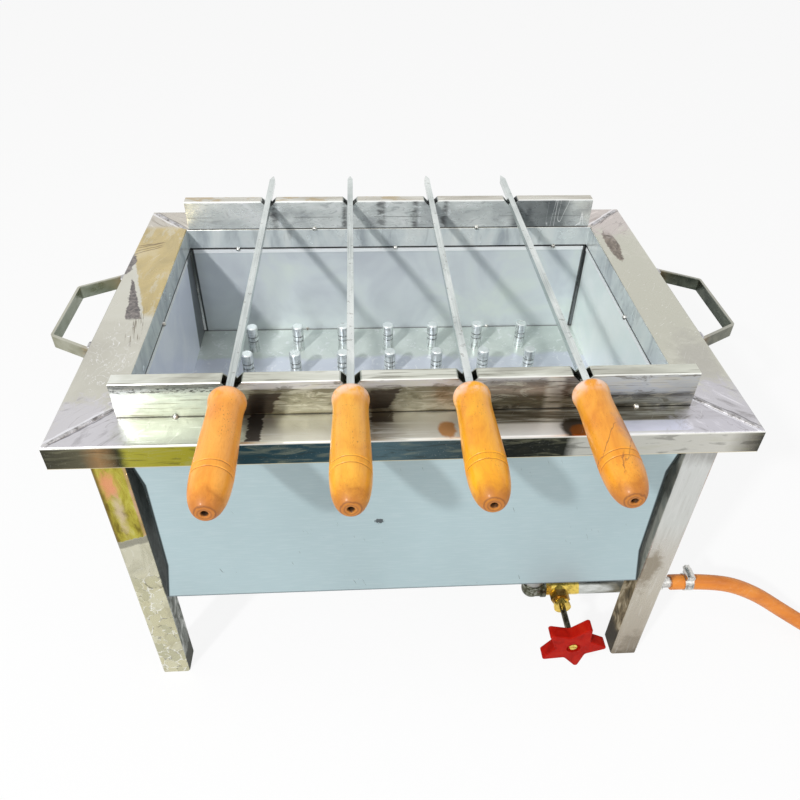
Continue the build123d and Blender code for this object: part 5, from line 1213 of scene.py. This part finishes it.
def knob_plastic(gas):
    """Glossy moulded plastic with a few bright specks, which are painted glints."""
    f = Finish("red_knob_plastic", roughness=0.3)
    cloud = f.noise(0.012, detail=3.0, warp=0.4)
    dark = shade(gas.knob, 0.72)
    light = (gas.knob[0] * 1.08, 0.016, 0.006)
    f.tone = f.ramp(cloud, {0.34: dark, 0.52: gas.knob, 0.72: light})
    # Painted highlights: a few bright glints.
    scuff_and_sheen = f.times(f.rise(f.noise(0.0013, rough=0.7), 0.7, 0.74), 0.5)
    f.coat(scuff_and_sheen, (0.85, 0.45, 0.35))
    rough = f.scaled(f.noise(0.004), 0.22, 0.38)
    f.preset("Specular IOR Level", 0.03)
    return f.paint(rough, [(f.noise(0.0012, detail=3.0), 0.00003), (cloud, 0.0002)])


def cast_metal(name, dark, middle, bright, rough, size=0.005):
    """Plated or cast metal with tarnish in patches and fine tool marks."""
    f = Finish(name, 1.0, rough)
    cloud = f.noise(size, rough=0.6, warp=0.6)
    f.tone = f.ramp(cloud, {0.32: dark, 0.5: middle, 0.68: bright})
    grime = f.rise(f.noise(0.0016, rough=0.7, shift=3.0), 0.58, 0.7)
    f.coat(grime, dark, 0.4)
    return f.paint(f.scaled(cloud, rough - 0.1, rough + 0.14), [(f.noise(0.0009, detail=3.0), 0.00006)])


def pipe_steel():
    """Bright pipe with a paler band across it."""
    f = Finish("pipe_steel_bright", 1.0, 0.26)
    cloud = f.noise(0.006, (4, 1, 1), warp=0.4)
    f.tone = f.ramp(cloud, {0.34: (0.3, 0.31, 0.29), 0.52: (0.5, 0.515, 0.48), 0.7: (0.72, 0.74, 0.72)})
    f.coat(f.between(f.x, 0.236, 0.246, 0.003), (0.82, 0.84, 0.8), 0.6)
    f.coat(f.rise(f.noise(0.0016, rough=0.7), 0.58, 0.7), (0.16, 0.13, 0.1), 0.35)
    return f.paint(f.scaled(cloud, 0.2, 0.4), [(f.noise(0.001, detail=3.0), 0.00005)])


def packing_rubber():
    """Black rubber ring."""
    f = Finish("packing_rubber_black", roughness=0.6)
    f.tone = f.ramp(f.noise(0.002, detail=3.0), {0.36: grey(0.012), 0.64: grey(0.035)})
    return f.paint(f.scaled(f.noise(0.001), 0.5, 0.7), [(f.noise(0.0006), 0.00003)])


class GRILL_OT_gas_finish(bpy.types.Operator):
    """Finishes the gas tap, the star knob, the pipe and the hose's fittings"""
    bl_idname = "grill.gas_finish"
    bl_label = "Gas line"

    def execute(self, context):
        gas = context.scene.grill.gas
        dress(knob_plastic(gas), "star_knob")
        brass = (shade(gas.brass, 0.5), gas.brass, shade(gas.brass, 1.15))
        gold = (brass[0], (0.72, 0.5, 0.1), brass[2])
        aged = (shade(gas.dark_brass, 0.5), gas.dark_brass, (0.55, 0.38, 0.12))
        # The spindle in dark tones.
        dark_stem = ((0.035, 0.032, 0.022), (0.09, 0.08, 0.055), (0.24, 0.22, 0.16))
        mottled = ((0.02, 0.02, 0.01), (0.09, 0.09, 0.055), (0.42, 0.43, 0.38))
        zinc = (shade(gas.zinc, 0.45), gas.zinc, shade(gas.zinc, 1.3))
        clamp = ("hose_clamp_band", "hose_clamp_housing", "hose_clamp_screw")
        dress(cast_metal("brass_cast", *brass, 0.3), "valve_body", "gas_jet")
        dress(cast_metal("brass_gold", *gold, 0.24), "valve_gland_nut", "valve_needle")
        dress(cast_metal("dark_brass_old", *aged, 0.36), "valve_bonnet")
        dress(cast_metal("stem_metal_dark", *dark_stem, 0.3), "valve_spindle")
        dress(cast_metal("cast_elbow_mottled", *mottled, 0.34, 0.006), "outlet_elbow")
        dress(cast_metal("zinc_plate", *zinc, 0.3), *clamp, "hose_ferrule", "hose_barb")
        dress(cast_metal("brass_fitting", *brass, 0.26), "knob_screw", "hose_tail", "hose_union_nut")
        dress(pipe_steel(), "gas_inlet_pipe")
        dress(packing_rubber(), "valve_packing")
        return {"FINISHED"}


# Finishes of the skewers and the tack welds

def rod_steel():
    """Drawn square bar, polished along its length."""
    f = Finish("rod_steel_drawn", 1.0, 0.22)
    drawn = f.noise(0.0009, (1, 80, 1), detail=2.0)
    cloud = f.noise(0.03, (1, 2.5, 1), detail=3.0, warp=0.4)
    f.tone = f.ramp(cloud, {0.34: (0.46, 0.5, 0.49), 0.55: (0.62, 0.665, 0.65), 0.72: (0.8, 0.83, 0.81)})
    f.coat(f.rise(drawn, 0.45, 0.65), (0.82, 0.86, 0.84), 0.3)
    f.coat(f.rise(f.noise(0.005), 0.6, 0.7), (0.2, 0.19, 0.16), 0.35)
    return f.paint(f.scaled(cloud, 0.14, 0.32), [(drawn, 0.00005)])


def tack_metal():
    """Small bright drops with burnt rims."""
    f = Finish("weld_metal_tack", 1.0, 0.32)
    f.tone = f.ramp(f.noise(0.0022, detail=3.0, warp=0.6), {
        0.34: (0.16, 0.13, 0.1), 0.5: (0.58, 0.57, 0.53), 0.68: (0.84, 0.84, 0.82),
    })
    return f.paint(f.scaled(f.noise(0.001), 0.2, 0.45), [(f.noise(0.0008), 0.00015)])


class GRILL_OT_skewer_finish(bpy.types.Operator):
    """Finishes the skewers' rods and the tack welds"""
    bl_idname = "grill.skewer_finish"
    bl_label = "Skewers and tacks"

    def execute(self, context):
        rods = [f"skewer_rod_{number}" for number in skewer_numbers]
        dress(rod_steel(), *rods)
        dress(tack_metal(), "tack_welds")
        return {"FINISHED"}


# Stage

class GRILL_OT_stage(bpy.types.Operator):
    """Lays the pale floor and sets the soft lamps and the plain surround"""
    bl_idname = "grill.stage"
    bl_label = "Stage"

    def execute(self, context):
        settings = context.scene.grill.stage
        shape = bmesh.new()
        bmesh.ops.create_grid(shape, x_segments=1, y_segments=1, size=20)
        bmesh.ops.translate(shape, vec=(0, 0, cad_low.z - 0.0002), verts=shape.verts)
        mesh = bpy.data.meshes.new("floor")
        shape.to_mesh(mesh)
        shape.free()
        floor = bpy.data.objects.new("floor", mesh)
        context.collection.objects.link(floor)
        mesh.materials.append(self.floor_paint(settings))
        self.lamp("key_lamp", (-1.08, -1.50, 1.68), (0.0, 0.0, 0.3), 0.14, settings.key_power)
        self.lamp("fill_lamp", (1.5, -1.1, 1.2), (0.05, 0.0, 0.2), 1.2, settings.fill_power)
        self.surround(context.scene, settings)
        context.scene.view_settings.view_transform = "Standard"
        return {"FINISHED"}

    def seen(self, tree):
        """1 for the rays of the camera, of reflections and of clear pieces."""
        path = tree.nodes.new("ShaderNodeLightPath")
        total = path.outputs["Is Camera Ray"]
        for ray in ("Is Glossy Ray", "Is Transmission Ray"):
            larger = tree.nodes.new("ShaderNodeMath")
            larger.operation = "MAXIMUM"
            tree.links.new(total, larger.inputs[0])
            tree.links.new(path.outputs[ray], larger.inputs[1])
            total = larger.outputs[0]
        return total

    def floor_paint(self, settings):
        """Plain white that keeps the object's shadow."""
        material = bpy.data.materials.new("floor_white")
        material.use_nodes = True
        tree = material.node_tree
        tree.nodes.remove(tree.nodes["Principled BSDF"])
        matt = tree.nodes.new("ShaderNodeBsdfDiffuse")
        matt.inputs["Color"].default_value = (0.86, 0.86, 0.86, 1)
        glow = tree.nodes.new("ShaderNodeEmission")
        share = tree.nodes.new("ShaderNodeMath")
        share.operation = "MULTIPLY"
        tree.links.new(self.seen(tree), share.inputs[0])
        share.inputs[1].default_value = settings.floor_glow
        both = tree.nodes.new("ShaderNodeMixShader")
        tree.links.new(share.outputs[0], both.inputs[0])
        tree.links.new(matt.outputs[0], both.inputs[1])
        tree.links.new(glow.outputs[0], both.inputs[2])
        tree.links.new(both.outputs[0], tree.nodes["Material Output"].inputs["Surface"])
        return material

    def lamp(self, name, place, target, size, power):
        data = bpy.data.lights.new(name, "AREA")
        data.shape = "DISK"
        data.size = size
        data.energy = power
        lamp = bpy.data.objects.new(name, data)
        bpy.context.collection.objects.link(lamp)
        lamp.location = place
        lamp.rotation_euler = (Vector(place) - Vector(target)).to_track_quat("Z", "Y").to_euler()

    def surround(self, scene, settings):
        """A white world for the camera and reflections, plain and weaker elsewhere."""
        world = bpy.data.worlds.new("studio")
        scene.world = world
        world.use_nodes = True
        tree = world.node_tree
        back = tree.nodes["Background"]
        back.inputs["Color"].default_value = (1, 1, 1, 1)
        spread = tree.nodes.new("ShaderNodeMapRange")
        tree.links.new(self.seen(tree), spread.inputs["Value"])
        spread.inputs["To Min"].default_value = settings.ambient
        spread.inputs["To Max"].default_value = 1.0
        tree.links.new(spread.outputs[0], back.inputs["Strength"])


# Panel and registration

operators = (
    GRILL_OT_camera,
    GRILL_OT_hose,
    GRILL_OT_grips,
    GRILL_OT_welds,
    GRILL_OT_frame_finish,
    GRILL_OT_body_finish,
    GRILL_OT_pit_finish,
    GRILL_OT_gas_finish,
    GRILL_OT_skewer_finish,
    GRILL_OT_stage,
)


class GRILL_PT_sidebar(bpy.types.Panel):
    """Shows every setting and a button for each step"""
    bl_idname = "GRILL_PT_sidebar"
    bl_label = "Gas Skewer Grill"
    bl_space_type = "VIEW_3D"
    bl_region_type = "UI"
    bl_category = "Grill"

    def draw(self, context):
        settings = context.scene.grill
        for group in GrillSettings.__annotations__:
            box = self.layout.box()
            box.label(text=group.capitalize())
            values = getattr(settings, group)
            for name in type(values).__annotations__:
                box.prop(values, name)
        for operator in operators:
            self.layout.operator(operator.bl_idname)


groups = (
    HoseSettings, GripSettings, WeldSettings, SteelSettings, GasSettings, StageSettings, GrillSettings,
)
classes = (*groups, *operators, GRILL_PT_sidebar)


def register():
    for kind in classes:
        bpy.utils.register_class(kind)
    bpy.types.Scene.grill = PointerProperty(type=GrillSettings)


def unregister():
    del bpy.types.Scene.grill
    for kind in reversed(classes):
        bpy.utils.unregister_class(kind)


def main():
    register()
    for operator in operators:
        group, name = operator.bl_idname.split(".")
        getattr(getattr(bpy.ops, group), name)()


if __name__ == "__main__":
    main()
